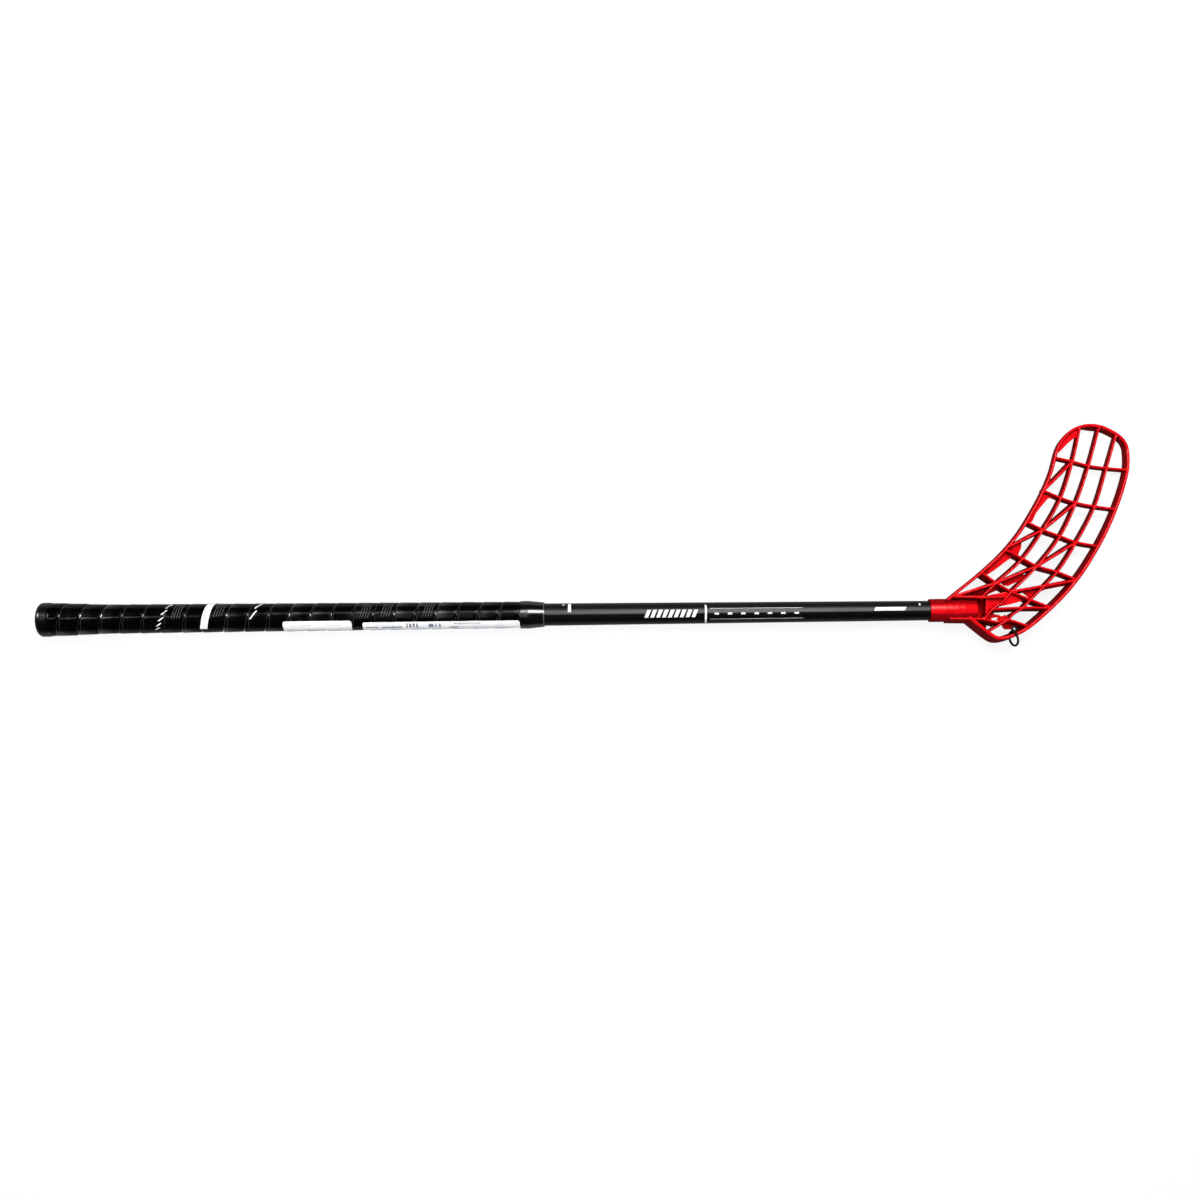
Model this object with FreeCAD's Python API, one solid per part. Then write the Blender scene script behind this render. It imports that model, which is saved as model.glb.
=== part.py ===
import FreeCAD, Part
import math
import os

V = FreeCAD.Vector
ORIGIN = V(0, 0, 0)
SHAFT_AXIS = V(1, 0, 0)
UP = V(0, 0, 1)

# A floorball stick lying on its back. +X runs along the shaft from the butt to the blade, +Y points
# to the blade's tip and +Z is up. The origin is the centre of the butt cap's flat end. Millimetres.

# Shaft: a hollow tube that tapers evenly from the butt to the blade
SHAFT_LENGTH = 952.0
SHAFT_BUTT_DIAMETER = 26.8
SHAFT_BLADE_DIAMETER = 19.8
SHAFT_WALL = 1.4

# Butt cap: a flared knob with a sleeve outside the tube and a hollow plug inside it
CAP_WALL = 5.0
KNOB_DIAMETER = 35.0
KNOB_LENGTH = 12.0
KNOB_EDGE_RADIUS = 5.0
KNOB_RISE = 0.3
SLEEVE_LENGTH = 26.0
SLEEVE_LIP = 0.6
PLUG_LENGTH = 30.0
PLUG_WALL = 2.0
CAP_CLEARANCE = 0.1

# Grip tape: one flat strip wound as a left-handed helix, with a bevel on its outer edges. The lead is
# the share of a turn that is trimmed along the knob before the strip has its full width.
TAPE_WIDTH = 20.7
TAPE_GAP = 0.6
TAPE_THICKNESS = 1.9
TAPE_BEVEL = 0.9
TAPE_CLEARANCE = 0.15
TAPE_TURNS = 22
TAPE_FIRST_TURN_SHARE = -0.54
TAPE_LEAD_SHARE = 0.8
QUARTERS = 4

# Finishing band: a thin sleeve that covers the lower end of the tape and meets the bare shaft
BAND_OVERLAP = 8.0
BAND_LENGTH = 24.5
BAND_THICKNESS = 0.35
BAND_CLEARANCE = 0.15
BAND_END_RISE = 0.5

# Stickers on the grip: a slanting strip and two labels along the low side, with the spaces between
# them measured back from the finishing band
LABEL_THICKNESS = 0.2
LABEL_CLEARANCE = 0.2
LABEL_CORNER_RADIUS = 2.5
LONG_LABEL_LENGTH = 160.0
LONG_LABEL_WIDTH = 11.0
LONG_LABEL_TURN_DEGREES = 46.5
LONG_LABEL_SPACE = 0.45
SHORT_LABEL_LENGTH = 70.0
SHORT_LABEL_WIDTH = 12.6
SHORT_LABEL_TURN_DEGREES = 41.5
SHORT_LABEL_SPACE = 11.0
STRIP_WIDTH = 7.4
STRIP_SPACE = 78.2
STRIP_FIRST_TURN_SHARE = -0.128
STRIP_TURN_SHARE = 0.44

# Blade socket: the tube that the shaft's end sits in, with a stop at its inner end
SOCKET_LENGTH = 48.0
SOCKET_WALL = 1.6
SOCKET_CLEARANCE = 0.1
SOCKET_STOP = 3.0
FLANGE_START_SHARE = 0.4

# Blade: how far it reaches past the socket's mouth and above the shaft's axis, and its walls
BLADE_REACH = 211.0
BLADE_RISE = 192.0
BLADE_DRAFT_DEGREES = 8.5
BLADE_HEEL_FRONT = 12.0
BLADE_MIDDLE_FRONT = 8.5
BLADE_TIP_DEPTH = 8.5
BLADE_ARCH = 11.0
BLADE_CURVE_DEGREES = 45.0
HEEL_LAND_SHARE = 0.063
TIP_LAND_SHARE = 0.905
TIP_END_SHARE = 0.947
RIM_TOP_WALL = 2.8
RIM_SOLE_WALL = 3.8
RIB_WALL = 2.6
RIB_KNOT_DIAMETER = 4.2
WEB_THICKNESS = 2.5
PLATE_LEVEL = -3.0
GUSSET_LEVEL = -5.0

# Outer edge of the rim from the socket round the tip to the heel, as shares of reach and rise
OUTLINE_SHARES = [
    (0.076, 0.052), (0.136, 0.106), (0.247, 0.203), (0.352, 0.309), (0.433, 0.415),
    (0.496, 0.523), (0.551, 0.631), (0.595, 0.740), (0.625, 0.849), (0.654, 0.908),
    (0.700, 0.960), (0.755, 0.990), (0.808, 1.000), (0.863, 0.994), (0.914, 0.971),
    (0.961, 0.939), (0.992, 0.893), (1.000, 0.831), (0.993, 0.746), (0.962, 0.635),
    (0.922, 0.525), (0.874, 0.414), (0.818, 0.306), (0.738, 0.174), (0.645, 0.054),
    (0.528, -0.065), (0.453, -0.126), (0.395, -0.155), (0.357, -0.166), (0.322, -0.167),
    (0.289, -0.150), (0.234, -0.103), (0.178, -0.051),
]

# Places where ribs meet: rows 1 to 5 run from the tip to the heel, columns a to e across the blade,
# of which the first and the last lie on the rim
RIM_COLUMNS = ("a", "e")
KNOT_SHARES = {
    "a1": (0.619, 0.810), "b1": (0.709, 0.789), "c1": (0.789, 0.767), "d1": (0.879, 0.756),
    "e1": (0.985, 0.748),
    "a2": (0.558, 0.629), "b2": (0.643, 0.590), "c2": (0.718, 0.564), "d2": (0.811, 0.545),
    "e2": (0.915, 0.531),
    "a3": (0.469, 0.462), "b3": (0.550, 0.417), "c3": (0.633, 0.383), "d3": (0.713, 0.351),
    "e3": (0.818, 0.330),
    "a4": (0.362, 0.314), "b4": (0.447, 0.263), "c4": (0.517, 0.223), "d4": (0.614, 0.191),
    "e4": (0.713, 0.148),
    "a5": (0.243, 0.194), "b5": (0.317, 0.135), "c5": (0.390, 0.088), "d5": (0.482, 0.044),
    "e5": (0.585, 0.000),
    "tip_b": (0.755, 0.982), "tip_c": (0.852, 0.985), "tip_d": (0.936, 0.940),
    "rim_34": (0.381, 0.328), "flange_b": (0.246, 0.060), "flange_c": (0.367, 0.060),
    "c6": (0.345, 0.033), "c7": (0.297, -0.003), "c8": (0.257, -0.055),
    "d6": (0.445, 0.002), "d7": (0.396, -0.032), "d8": (0.369, -0.061), "d9": (0.272, -0.125),
    "heel_c": (0.315, -0.072), "heel_e": (0.473, -0.098), "socket_top": (0.110, 0.066),
}

# Ribs as chains of those places: across the blade, along it, on the slant and round the heel
RIB_CHAINS = [
    ["a1", "b1", "c1", "d1", "e1"],
    ["a2", "b2", "c2", "d2", "e2"],
    ["a3", "b3", "c3", "d3", "e3"],
    ["a4", "b4", "c4", "d4", "e4"],
    ["a5", "b5", "c5", "d5", "e5"],
    ["tip_b", "b1", "b2", "b3", "b4", "b5", "flange_b"],
    ["tip_c", "c1", "c2", "c3", "c4", "c5", "c6", "c7", "c8"],
    ["tip_d", "d1", "d2", "d3", "d4", "d5", "d6", "d7", "d8", "d9"],
    ["b1", "a2"], ["c2", "b3"], ["b3", "rim_34"], ["d3", "c4"], ["c4", "b5"], ["e4", "c5"],
    ["b5", "socket_top"], ["c7", "d6", "e5"], ["c8", "heel_c", "d8", "heel_e"],
    ["flange_b", "flange_c"],
]

# Thin webs at the back of the lattice: inside the rim, above the socket and under its inner end
WEB_SHARES = [
    [(0.645, 0.850), (0.672, 0.870), (0.705, 0.918), (0.765, 0.962), (0.757, 0.980), (0.680, 0.930)],
    [(0.552, 0.622), (0.597, 0.604), (0.541, 0.526), (0.478, 0.470)],
    [(0.372, 0.318), (0.426, 0.348), (0.469, 0.355), (0.440, 0.275)],
    [(0.362, 0.306), (0.409, 0.285), (0.377, 0.245), (0.329, 0.214), (0.252, 0.196)],
    [(0.110, 0.060), (0.320, 0.135), (0.362, 0.110), (0.367, 0.060)],
    [(0.190, 0.056), (0.340, 0.056), (0.340, 0.010), (0.300, -0.060), (0.190, -0.060)],
]

# Plate past the socket's end, level with the shaft, and a small gusset under the heel rib
PLATE_SHARES = [
    (0.280, 0.060), (0.390, 0.090), (0.445, 0.070), (0.456, 0.048), (0.397, 0.031),
    (0.345, 0.020), (0.276, -0.036),
]
GUSSET_SHARES = [
    (0.362, -0.062), (0.376, -0.066), (0.422, -0.080), (0.427, -0.089), (0.403, -0.102), (0.372, -0.102),
    (0.360, -0.086),
]

# Screw through the back of the socket into the tube
SCREW_PLACE = 33.0
SCREW_DIAMETER = 2.9
SCREW_LENGTH = 9.5
SCREW_HEAD_DIAMETER = 6.4
SCREW_HEAD_HEIGHT = 1.9
SCREW_SEAT_DEPTH = 0.9
SCREW_CLEARANCE = 0.05
SCREW_SLOT_WIDTH = 0.9
SCREW_SLOT_LENGTH = 3.6
SCREW_SLOT_DEPTH = 1.1

# Tag loop round the rim at the heel: places along the shaft from the socket's mouth, across and up
CORD_DIAMETER = 2.4
CORD_BEND_SHARE = 0.45
CORD_ROUTE = [
    (82.8, -20.6, 14.0), (83.2, -21.2, 10.5), (84.4, -21.8, 5.0), (85.6, -22.4, -1.0),
    (86.4, -22.8, -7.2), (86.8, -23.6, -12.8), (86.9, -26.8, -16.2), (87.3, -31.6, -16.2),
    (88.0, -34.8, -12.9), (88.6, -36.7, -8.2), (88.9, -37.1, -2.6), (88.9, -36.2, 3.6),
    (88.5, -33.8, 9.8), (87.5, -30.4, 14.3), (86.1, -26.8, 15.7), (84.8, -23.0, 14.4),
]
RING_PLACE = (83.5, -19.6)
RING_LEVEL = 14.0
RING_DIAMETER = 6.6
RING_HOLE_DIAMETER = 3.0
RING_THICKNESS = 2.4
RING_EDGE_RADIUS = 0.8

# Room past a piece for the tools that cut it
OVERRUN = 10.0
SAMPLE_SHARE = 0.001
SAMPLES_PER_TURN = 24

CHAINED = [name for chain in RIB_CHAINS for name in chain]
CROSSINGS = [name for name in KNOT_SHARES if CHAINED.count(name) > 1 and not name.startswith(RIM_COLUMNS)]
TAPE_PITCH = TAPE_WIDTH + TAPE_GAP
FLOOR = -KNOB_DIAMETER / 2
SHAFT_END = CAP_WALL + SHAFT_LENGTH
SLEEVE_END = KNOB_LENGTH + SLEEVE_LENGTH
SOCKET_MOUTH = SHAFT_END + SOCKET_STOP - SOCKET_LENGTH
TAPE_START = KNOB_LENGTH + TAPE_CLEARANCE
TAPE_FIRST_MIDDLE = TAPE_START + TAPE_WIDTH / 2
TAPE_END = TAPE_FIRST_MIDDLE + TAPE_TURNS * TAPE_PITCH + TAPE_WIDTH / 2
BAND_START = TAPE_END - BAND_OVERLAP
LONG_LABEL_PLACE = BAND_START - LONG_LABEL_SPACE - LONG_LABEL_LENGTH
SHORT_LABEL_PLACE = LONG_LABEL_PLACE - SHORT_LABEL_SPACE - SHORT_LABEL_LENGTH
STRIP_PLACE = SHORT_LABEL_PLACE - STRIP_SPACE
DRAFT = math.tan(math.radians(BLADE_DRAFT_DEGREES))


def shaft_radius(x):
    """Outer radius of the tapered tube at a place along it."""
    share = (x - CAP_WALL) / SHAFT_LENGTH
    return (SHAFT_BUTT_DIAMETER + (SHAFT_BLADE_DIAMETER - SHAFT_BUTT_DIAMETER) * share) / 2


def sleeve_radius(x):
    """Outer radius of the cap's sleeve, from the knob's shoulder to its thin lip."""
    first = KNOB_DIAMETER / 2 - KNOB_RISE - TAPE_THICKNESS - TAPE_CLEARANCE
    last = shaft_radius(SLEEVE_END) + CAP_CLEARANCE + SLEEVE_LIP
    return first + (last - first) * (x - KNOB_LENGTH) / SLEEVE_LENGTH


def tape_seat(middle):
    """Inner radius of the tape where its middle is at a place along the shaft."""
    edge = max(TAPE_START, middle - TAPE_WIDTH / 2)
    if edge < SLEEVE_END:
        return sleeve_radius(edge) + TAPE_CLEARANCE
    step = CAP_CLEARANCE + SLEEVE_LIP
    left = max(0, 1 - (edge - SLEEVE_END) / TAPE_PITCH)
    return shaft_radius(edge) + step * left + TAPE_CLEARANCE


def grip_radius(x):
    """Radius just outside the wound tape, with room for a sticker."""
    return tape_seat(x - TAPE_WIDTH / 2) + TAPE_THICKNESS + LABEL_CLEARANCE


def turned(points):
    """Solid of revolution about the shaft's axis, from places along it and radii."""
    outline = [V(x, 0, radius) for x, radius in points]
    face = Part.Face(Part.makePolygon(outline + outline[:1]))
    return face.revolve(ORIGIN, SHAFT_AXIS, 360)


def helix_point(x, radius, turn):
    """Point on a left-handed wrap: turn 0 is on top and a quarter turn is on the tip's side."""
    angle = 2 * math.pi * turn
    return V(x, radius * math.sin(angle), radius * math.cos(angle))


def bent_edge(start, way, end):
    """Circular arc that leaves its start along a direction and runs to its end."""
    chord = end - start
    side = chord - way * chord.dot(way)
    side.normalize()
    radius = chord.dot(chord) / (2 * chord.dot(side))
    centre = start + side * radius
    middle = (start - centre) + (end - centre)
    middle.normalize()
    return Part.Arc(start, centre + middle * radius, end).toShape()


def biarc(start, start_way, end, end_way):
    """Two arcs that share a tangent between two points with given directions."""
    chord = end - start
    turn = 1 - start_way.dot(end_way)
    along = chord.dot(start_way + end_way)
    reach = (math.sqrt(along ** 2 + 2 * turn * chord.dot(chord)) - along) / (2 * turn)
    joint = (start + end + (start_way - end_way) * reach) / 2
    second = bent_edge(end, end_way * -1, joint)
    return [bent_edge(start, start_way, joint), second]


def wound_strip(middle_at, radius_at, first, turns, section):
    """Flat strip wound about the shaft: a section in axial and radial sizes swept along a helix."""
    def place(turn):
        x = middle_at(turn)
        return helix_point(x, radius_at(x), turn)

    def heading(turn):
        way = place(turn + SAMPLE_SHARE) - place(turn - SAMPLE_SHARE)
        return way.normalize()

    count = math.ceil(turns * QUARTERS)
    stops = [first + turns * i / count for i in range(count + 1)]
    edges = []
    for a, b in zip(stops, stops[1:]):
        edges += biarc(place(a), heading(a), place(b), heading(b))
    out = helix_point(0, 1, first)
    corners = [place(first) + SHAFT_AXIS * axial + out * radial for axial, radial in section]
    shell = Part.BRepOffsetAPI.MakePipeShell(Part.Wire(edges))
    shell.setBiNormalMode(SHAFT_AXIS)
    shell.add(Part.makePolygon(corners + corners[:1]))
    shell.build()
    shell.makeSolid()
    return shell.shape()


def shaft_tube():
    """Hollow tapered tube, drilled for the blade's screw."""
    first, last = shaft_radius(CAP_WALL), shaft_radius(SHAFT_END)
    tube = turned([
        (CAP_WALL, first - SHAFT_WALL), (CAP_WALL, first),
        (SHAFT_END, last), (SHAFT_END, last - SHAFT_WALL),
    ])
    return tube.cut(screw_hole())


def butt_cap():
    """Knob, outer sleeve and inner plug in one piece, with the tube's end between them."""
    plug_end = CAP_WALL + PLUG_LENGTH
    plug = shaft_radius(plug_end) - SHAFT_WALL - CAP_CLEARANCE
    bore = plug - PLUG_WALL
    cap = turned([
        (0, 0), (0, KNOB_DIAMETER / 2), (KNOB_LENGTH, KNOB_DIAMETER / 2),
        (KNOB_LENGTH, sleeve_radius(KNOB_LENGTH)), (SLEEVE_END, sleeve_radius(SLEEVE_END)),
        (SLEEVE_END, shaft_radius(SLEEVE_END) + CAP_CLEARANCE),
        (CAP_WALL, shaft_radius(CAP_WALL) + CAP_CLEARANCE),
        (CAP_WALL, plug), (plug_end, plug), (plug_end, bore), (CAP_WALL, bore), (CAP_WALL, 0),
    ])
    rim = [e for e in cap.Edges if e.BoundBox.XMax < CAP_WALL / 2 and e.Length > KNOB_DIAMETER]
    return cap.makeFillet(KNOB_EDGE_RADIUS, rim)


def tape_middle(turn):
    """Place along the shaft of the tape's middle at a turn."""
    return TAPE_FIRST_MIDDLE + (turn - TAPE_FIRST_TURN_SHARE) * TAPE_PITCH


def grip_tape():
    """The wound grip: a bevelled strip, trimmed along the knob where it starts."""
    half = TAPE_WIDTH / 2
    top = half - TAPE_BEVEL
    section = [(-half, 0), (half, 0), (top, TAPE_THICKNESS), (-top, TAPE_THICKNESS)]
    first, turns = TAPE_FIRST_TURN_SHARE - TAPE_LEAD_SHARE, TAPE_TURNS + TAPE_LEAD_SHARE
    strip = wound_strip(tape_middle, tape_seat, first, turns, section)
    trim = Part.makeCylinder(KNOB_DIAMETER, TAPE_WIDTH + TAPE_START, SHAFT_AXIS * -TAPE_WIDTH, SHAFT_AXIS)
    return strip.cut(trim)


def tape_self_gap():
    """Least distance between the facing edges of neighbouring turns, measured on points."""
    def edge(turn, side):
        x = tape_middle(turn)
        return helix_point(x + side * TAPE_WIDTH / 2, tape_seat(x), turn)

    steps = range((TAPE_TURNS - 1) * SAMPLES_PER_TURN)
    near = [i / SAMPLES_PER_TURN ** 2 for i in range(-SAMPLES_PER_TURN, SAMPLES_PER_TURN + 1)]
    gaps = []
    for step in steps:
        turn = TAPE_FIRST_TURN_SHARE + step / SAMPLES_PER_TURN
        right = edge(turn, 1)
        gaps += [right.distanceToPoint(edge(turn + 1 + shift, -1)) for shift in near]
    return min(gaps)


def grip_end_band():
    """Sleeve over the last of the tape that steps down to the bare shaft."""
    last = BAND_START + BAND_LENGTH
    over = tape_seat(BAND_START - TAPE_WIDTH / 2) + TAPE_THICKNESS + BAND_CLEARANCE
    step = TAPE_END + BAND_CLEARANCE
    end = shaft_radius(step) + BAND_CLEARANCE
    rise = end + BAND_END_RISE + BAND_THICKNESS
    return turned([
        (BAND_START, over), (BAND_START, over + BAND_THICKNESS), (step, over + BAND_THICKNESS),
        (last, rise), (last, end), (step + TAPE_THICKNESS, end), (step, over),
    ])


def grip_band_label():
    """Slanting white strip that lies over the tape, wound the same way."""
    def middle(turn):
        return STRIP_PLACE + turn * TAPE_PITCH

    half = STRIP_WIDTH / 2
    section = [(-half, 0), (half, 0), (half, LABEL_THICKNESS), (-half, LABEL_THICKNESS)]
    return wound_strip(middle, grip_radius, STRIP_FIRST_TURN_SHARE, STRIP_TURN_SHARE, section)


def rounded_slab(length, width, height, radius):
    """Upright block on the shaft's axis with rounded corners, from 0 along the shaft."""
    block = Part.makeBox(length, width, height, V(0, -width / 2, 0))
    corners = [e for e in block.Edges if e.BoundBox.ZLength > max(e.BoundBox.XLength, e.BoundBox.YLength)]
    return block.makeFillet(radius, corners)


def grip_label(place, length, width, turn):
    """Sticker bent round the tape: a thin cone trimmed to a rounded rectangle and turned down."""
    last = place + length
    shell = turned([
        (place, grip_radius(place)), (place, grip_radius(place) + LABEL_THICKNESS),
        (last, grip_radius(last) + LABEL_THICKNESS), (last, grip_radius(last)),
    ])
    outline = rounded_slab(length, width, KNOB_DIAMETER, LABEL_CORNER_RADIUS)
    outline.translate(V(place, 0, 0))
    label = shell.common(outline)
    label.rotate(ORIGIN, SHAFT_AXIS, turn)
    return label


def blade_point(shares, level=0):
    """Point of the lattice at a height, leaning with the moulding's draft."""
    along, across = shares
    return V(SOCKET_MOUTH + along * BLADE_REACH, across * BLADE_RISE + level * DRAFT, level)


def blade_drawn(face, low, high):
    """Flat pattern drawn out between two heights along the moulding's draft."""
    base = face.copy()
    base.translate(V(0, low * DRAFT, low))
    return base.extrude(V(0, (high - low) * DRAFT, high - low))


def outline_curve(offset_first, offset_last):
    """Rim curve moved inwards by an offset that changes evenly from the socket to the heel."""
    points = [blade_point(shares) for shares in OUTLINE_SHARES]
    curve = Part.BSplineCurve()
    curve.interpolate(points)
    last = len(points) - 1
    moved = []
    for i, point in enumerate(points):
        way = curve.tangent(curve.parameter(point))[0]
        inwards = way.cross(UP)
        moved.append(point + inwards * (offset_first + (offset_last - offset_first) * i / last))
    inner = Part.BSplineCurve()
    inner.interpolate(moved)
    return inner


def upward_face(edges):
    """Flat face inside a closed chain of edges, looking up."""
    face = Part.Face(Part.Wire(edges))
    if face.normalAt(0, 0).z < 0:
        face.reverse()
    return face


def rim_face():
    """Flat band between the rim's outer and inner edges."""
    outer = outline_curve(0, 0)
    inner = outline_curve(RIM_TOP_WALL, RIM_SOLE_WALL)
    first = Part.LineSegment(outer.StartPoint, inner.StartPoint)
    last = Part.LineSegment(outer.EndPoint, inner.EndPoint)
    return upward_face([outer.toShape(), last.toShape(), inner.toShape(), first.toShape()])


def wall_face(start, end, wall):
    """Flat strip of one wall's thickness between two points."""
    way = end - start
    side = way.cross(UP).normalize() * (wall / 2)
    corners = [start + side, end + side, end - side, start - side]
    return upward_face(Part.makePolygon(corners + corners[:1]).Edges)


def share_face(table):
    """Flat polygon from a table of shares."""
    corners = [blade_point(shares) for shares in table]
    return upward_face(Part.makePolygon(corners + corners[:1]).Edges)


def lattice_face():
    """Rim, ribs, rounded knots and the walls beside the socket as one flat pattern."""
    faces = []
    for chain in RIB_CHAINS:
        places = [blade_point(KNOT_SHARES[name]) for name in chain]
        faces += [wall_face(a, b, RIB_WALL) for a, b in zip(places, places[1:])]
    for name in CROSSINGS:
        ring = Part.makeCircle(RIB_KNOT_DIAMETER / 2, blade_point(KNOT_SHARES[name]))
        faces.append(upward_face([ring]))
    low = V(SOCKET_MOUTH + FLANGE_START_SHARE * SOCKET_LENGTH, OUTLINE_SHARES[-1][1] * BLADE_RISE, 0)
    faces.append(wall_face(low, blade_point(KNOT_SHARES["c8"]), RIM_TOP_WALL))
    high = blade_point(KNOT_SHARES["socket_top"])
    faces.append(wall_face(high, blade_point(KNOT_SHARES["flange_b"]), RIM_TOP_WALL))
    return rim_face().multiFuse(faces).removeSplitter()


def curve_point(along, height):
    """Point over the line from heel to tip that the blade curves along."""
    angle = math.radians(BLADE_CURVE_DEGREES)
    return V(SOCKET_MOUTH + along * math.cos(angle), along * math.sin(angle), height)


def curve_span():
    """Length of the blade along the line that it curves along."""
    angle = math.radians(BLADE_CURVE_DEGREES)
    return BLADE_REACH * math.cos(angle) + BLADE_RISE * math.sin(angle)


def back_edges(lift):
    """Back of the blade: flat lands at the heel and the tip with an arch between them."""
    span = curve_span()
    heel, tip = HEEL_LAND_SHARE * span, TIP_LAND_SHARE * span
    low = FLOOR + lift
    first = curve_point(-span, low)
    last = curve_point(2 * span, low)
    start, end = curve_point(heel, low), curve_point(tip, low)
    crown = curve_point((heel + tip) / 2, low + BLADE_ARCH)
    edges = [Part.LineSegment(first, start), Part.Arc(start, crown, end), Part.LineSegment(end, last)]
    return [e.toShape() for e in edges], first, last


def front_edges():
    """Front of the blade: level at the heel and falling to the thin tip."""
    span = curve_span()
    heel, tip = HEEL_LAND_SHARE * span, TIP_END_SHARE * span
    low = FLOOR + BLADE_TIP_DEPTH
    first = curve_point(-span, BLADE_HEEL_FRONT)
    start = curve_point(heel, BLADE_HEEL_FRONT)
    crown = curve_point((heel + tip) / 2, BLADE_MIDDLE_FRONT)
    end = curve_point(tip, low)
    last = curve_point(2 * span, low)
    edges = [Part.LineSegment(first, start), Part.Arc(start, crown, end), Part.LineSegment(end, last)]
    return [e.toShape() for e in edges], first, last


def curved_slab(top):
    """Layer between the back of the blade and a top line, wide enough for the whole lattice."""
    back, back_first, back_last = back_edges(0)
    edges, first, last = top
    sides = [Part.LineSegment(back_first, first).toShape(), Part.LineSegment(back_last, last).toShape()]
    face = Part.Face(Part.Wire(Part.__sortEdges__(back + edges + sides)))
    angle = math.radians(BLADE_CURVE_DEGREES)
    across = V(-math.sin(angle), math.cos(angle), 0) * (2 * curve_span())
    face.translate(across * -1)
    return face.extrude(across * 2)


def socket_radius():
    """Outer radius of the socket's tube."""
    return shaft_radius(SOCKET_MOUTH) + SOCKET_CLEARANCE + SOCKET_WALL


def socket_bore():
    """Space for the shaft's end, and the narrower hole through the stop."""
    first = SOCKET_MOUTH - OVERRUN
    stop_end = SHAFT_END + SOCKET_STOP + OVERRUN
    seat = SHAFT_END + SOCKET_CLEARANCE
    stop = shaft_radius(SHAFT_END) - SHAFT_WALL
    return turned([
        (first, 0), (first, shaft_radius(first) + SOCKET_CLEARANCE),
        (seat, shaft_radius(seat) + SOCKET_CLEARANCE), (seat, stop), (stop_end, stop), (stop_end, 0),
    ])


def screw_cylinder(diameter, low, high):
    """Upright cylinder on the screw's axis."""
    base = V(SOCKET_MOUTH + SCREW_PLACE, 0, low)
    return Part.makeCylinder(diameter / 2, high - low, base, UP)


def screw_seat():
    """Height of the flat that the screw's head bears on."""
    return -socket_radius() + SCREW_SEAT_DEPTH


def screw_hole():
    """Hole for the screw's shank through the socket and one wall of the tube."""
    return screw_cylinder(SCREW_DIAMETER + 2 * SCREW_CLEARANCE, -socket_radius(), 0)


def blade():
    """Moulded lattice, thin webs, the socket and its bore as one solid."""
    height = KNOB_DIAMETER + OVERRUN
    lattice = blade_drawn(lattice_face(), -height, height).common(curved_slab(front_edges()))
    webs = [blade_drawn(share_face(table), -height, height) for table in WEB_SHARES]
    layer = curved_slab(back_edges(WEB_THICKNESS))
    webs = [web.common(layer) for web in webs]
    plate = blade_drawn(share_face(PLATE_SHARES), PLATE_LEVEL, PLATE_LEVEL + WEB_THICKNESS)
    gusset = blade_drawn(share_face(GUSSET_SHARES), GUSSET_LEVEL, GUSSET_LEVEL + WEB_THICKNESS)
    tube = turned([
        (SOCKET_MOUTH, 0), (SOCKET_MOUTH, socket_radius()),
        (SHAFT_END + SOCKET_STOP, socket_radius()), (SHAFT_END + SOCKET_STOP, 0),
    ])
    body = lattice.multiFuse(webs + [plate, gusset, tube])
    seat = screw_cylinder(SCREW_HEAD_DIAMETER + 2 * SCREW_CLEARANCE, FLOOR, screw_seat())
    return body.cut(socket_bore()).cut(screw_hole()).cut(seat).removeSplitter()


def blade_screw():
    """Pan-head screw with a crossed recess, head down on the back of the socket."""
    seat = screw_seat() - SCREW_CLEARANCE
    low = seat - SCREW_HEAD_HEIGHT
    head = screw_cylinder(SCREW_HEAD_DIAMETER, low, seat)
    rim = [e for e in head.Edges if e.BoundBox.ZMax < (low + seat) / 2 and e.Length > SCREW_HEAD_DIAMETER]
    head = head.makeFillet(SCREW_HEAD_HEIGHT / 2, rim)
    screw = head.fuse(screw_cylinder(SCREW_DIAMETER, seat, seat + SCREW_LENGTH))
    middle = V(SOCKET_MOUTH + SCREW_PLACE, 0, low)
    for length, width in [(SCREW_SLOT_LENGTH, SCREW_SLOT_WIDTH), (SCREW_SLOT_WIDTH, SCREW_SLOT_LENGTH)]:
        corner = middle - V(length / 2, width / 2, SCREW_SLOT_DEPTH)
        screw = screw.cut(Part.makeBox(length, width, 2 * SCREW_SLOT_DEPTH, corner))
    return screw.removeSplitter()


def cord_path():
    """Straight runs of the cord's route joined by tangent arcs, and the arcs' radii."""
    points = [V(SOCKET_MOUTH + x, y, z) for x, y, z in CORD_ROUTE]
    edges, radii = [], []
    last = points[0]
    for before, point, after in zip(points, points[1:], points[2:]):
        back, on = before - point, after - point
        turn = math.pi - back.getAngle(on)
        trim = CORD_BEND_SHARE * min(back.Length, on.Length)
        start = point + back.normalize() * trim
        end = point + on.normalize() * trim
        radius = trim / math.tan(turn / 2)
        inwards = (back + on).normalize()
        middle = point + inwards * (radius / math.cos(turn / 2) - radius)
        edges.append(Part.LineSegment(last, start).toShape())
        edges.append(Part.Arc(start, middle, end).toShape())
        radii.append(radius)
        last = end
    edges.append(Part.LineSegment(last, points[-1]).toShape())
    return Part.Wire(edges), radii


def ring_disc():
    """Rounded disc of the tag's ring, before its hole."""
    base = V(SOCKET_MOUTH + RING_PLACE[0], RING_PLACE[1], RING_LEVEL - RING_THICKNESS / 2)
    disc = Part.makeCylinder(RING_DIAMETER / 2, RING_THICKNESS, base, UP)
    return disc.makeFillet(RING_EDGE_RADIUS, [e for e in disc.Edges if e.Length > RING_DIAMETER])


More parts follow.
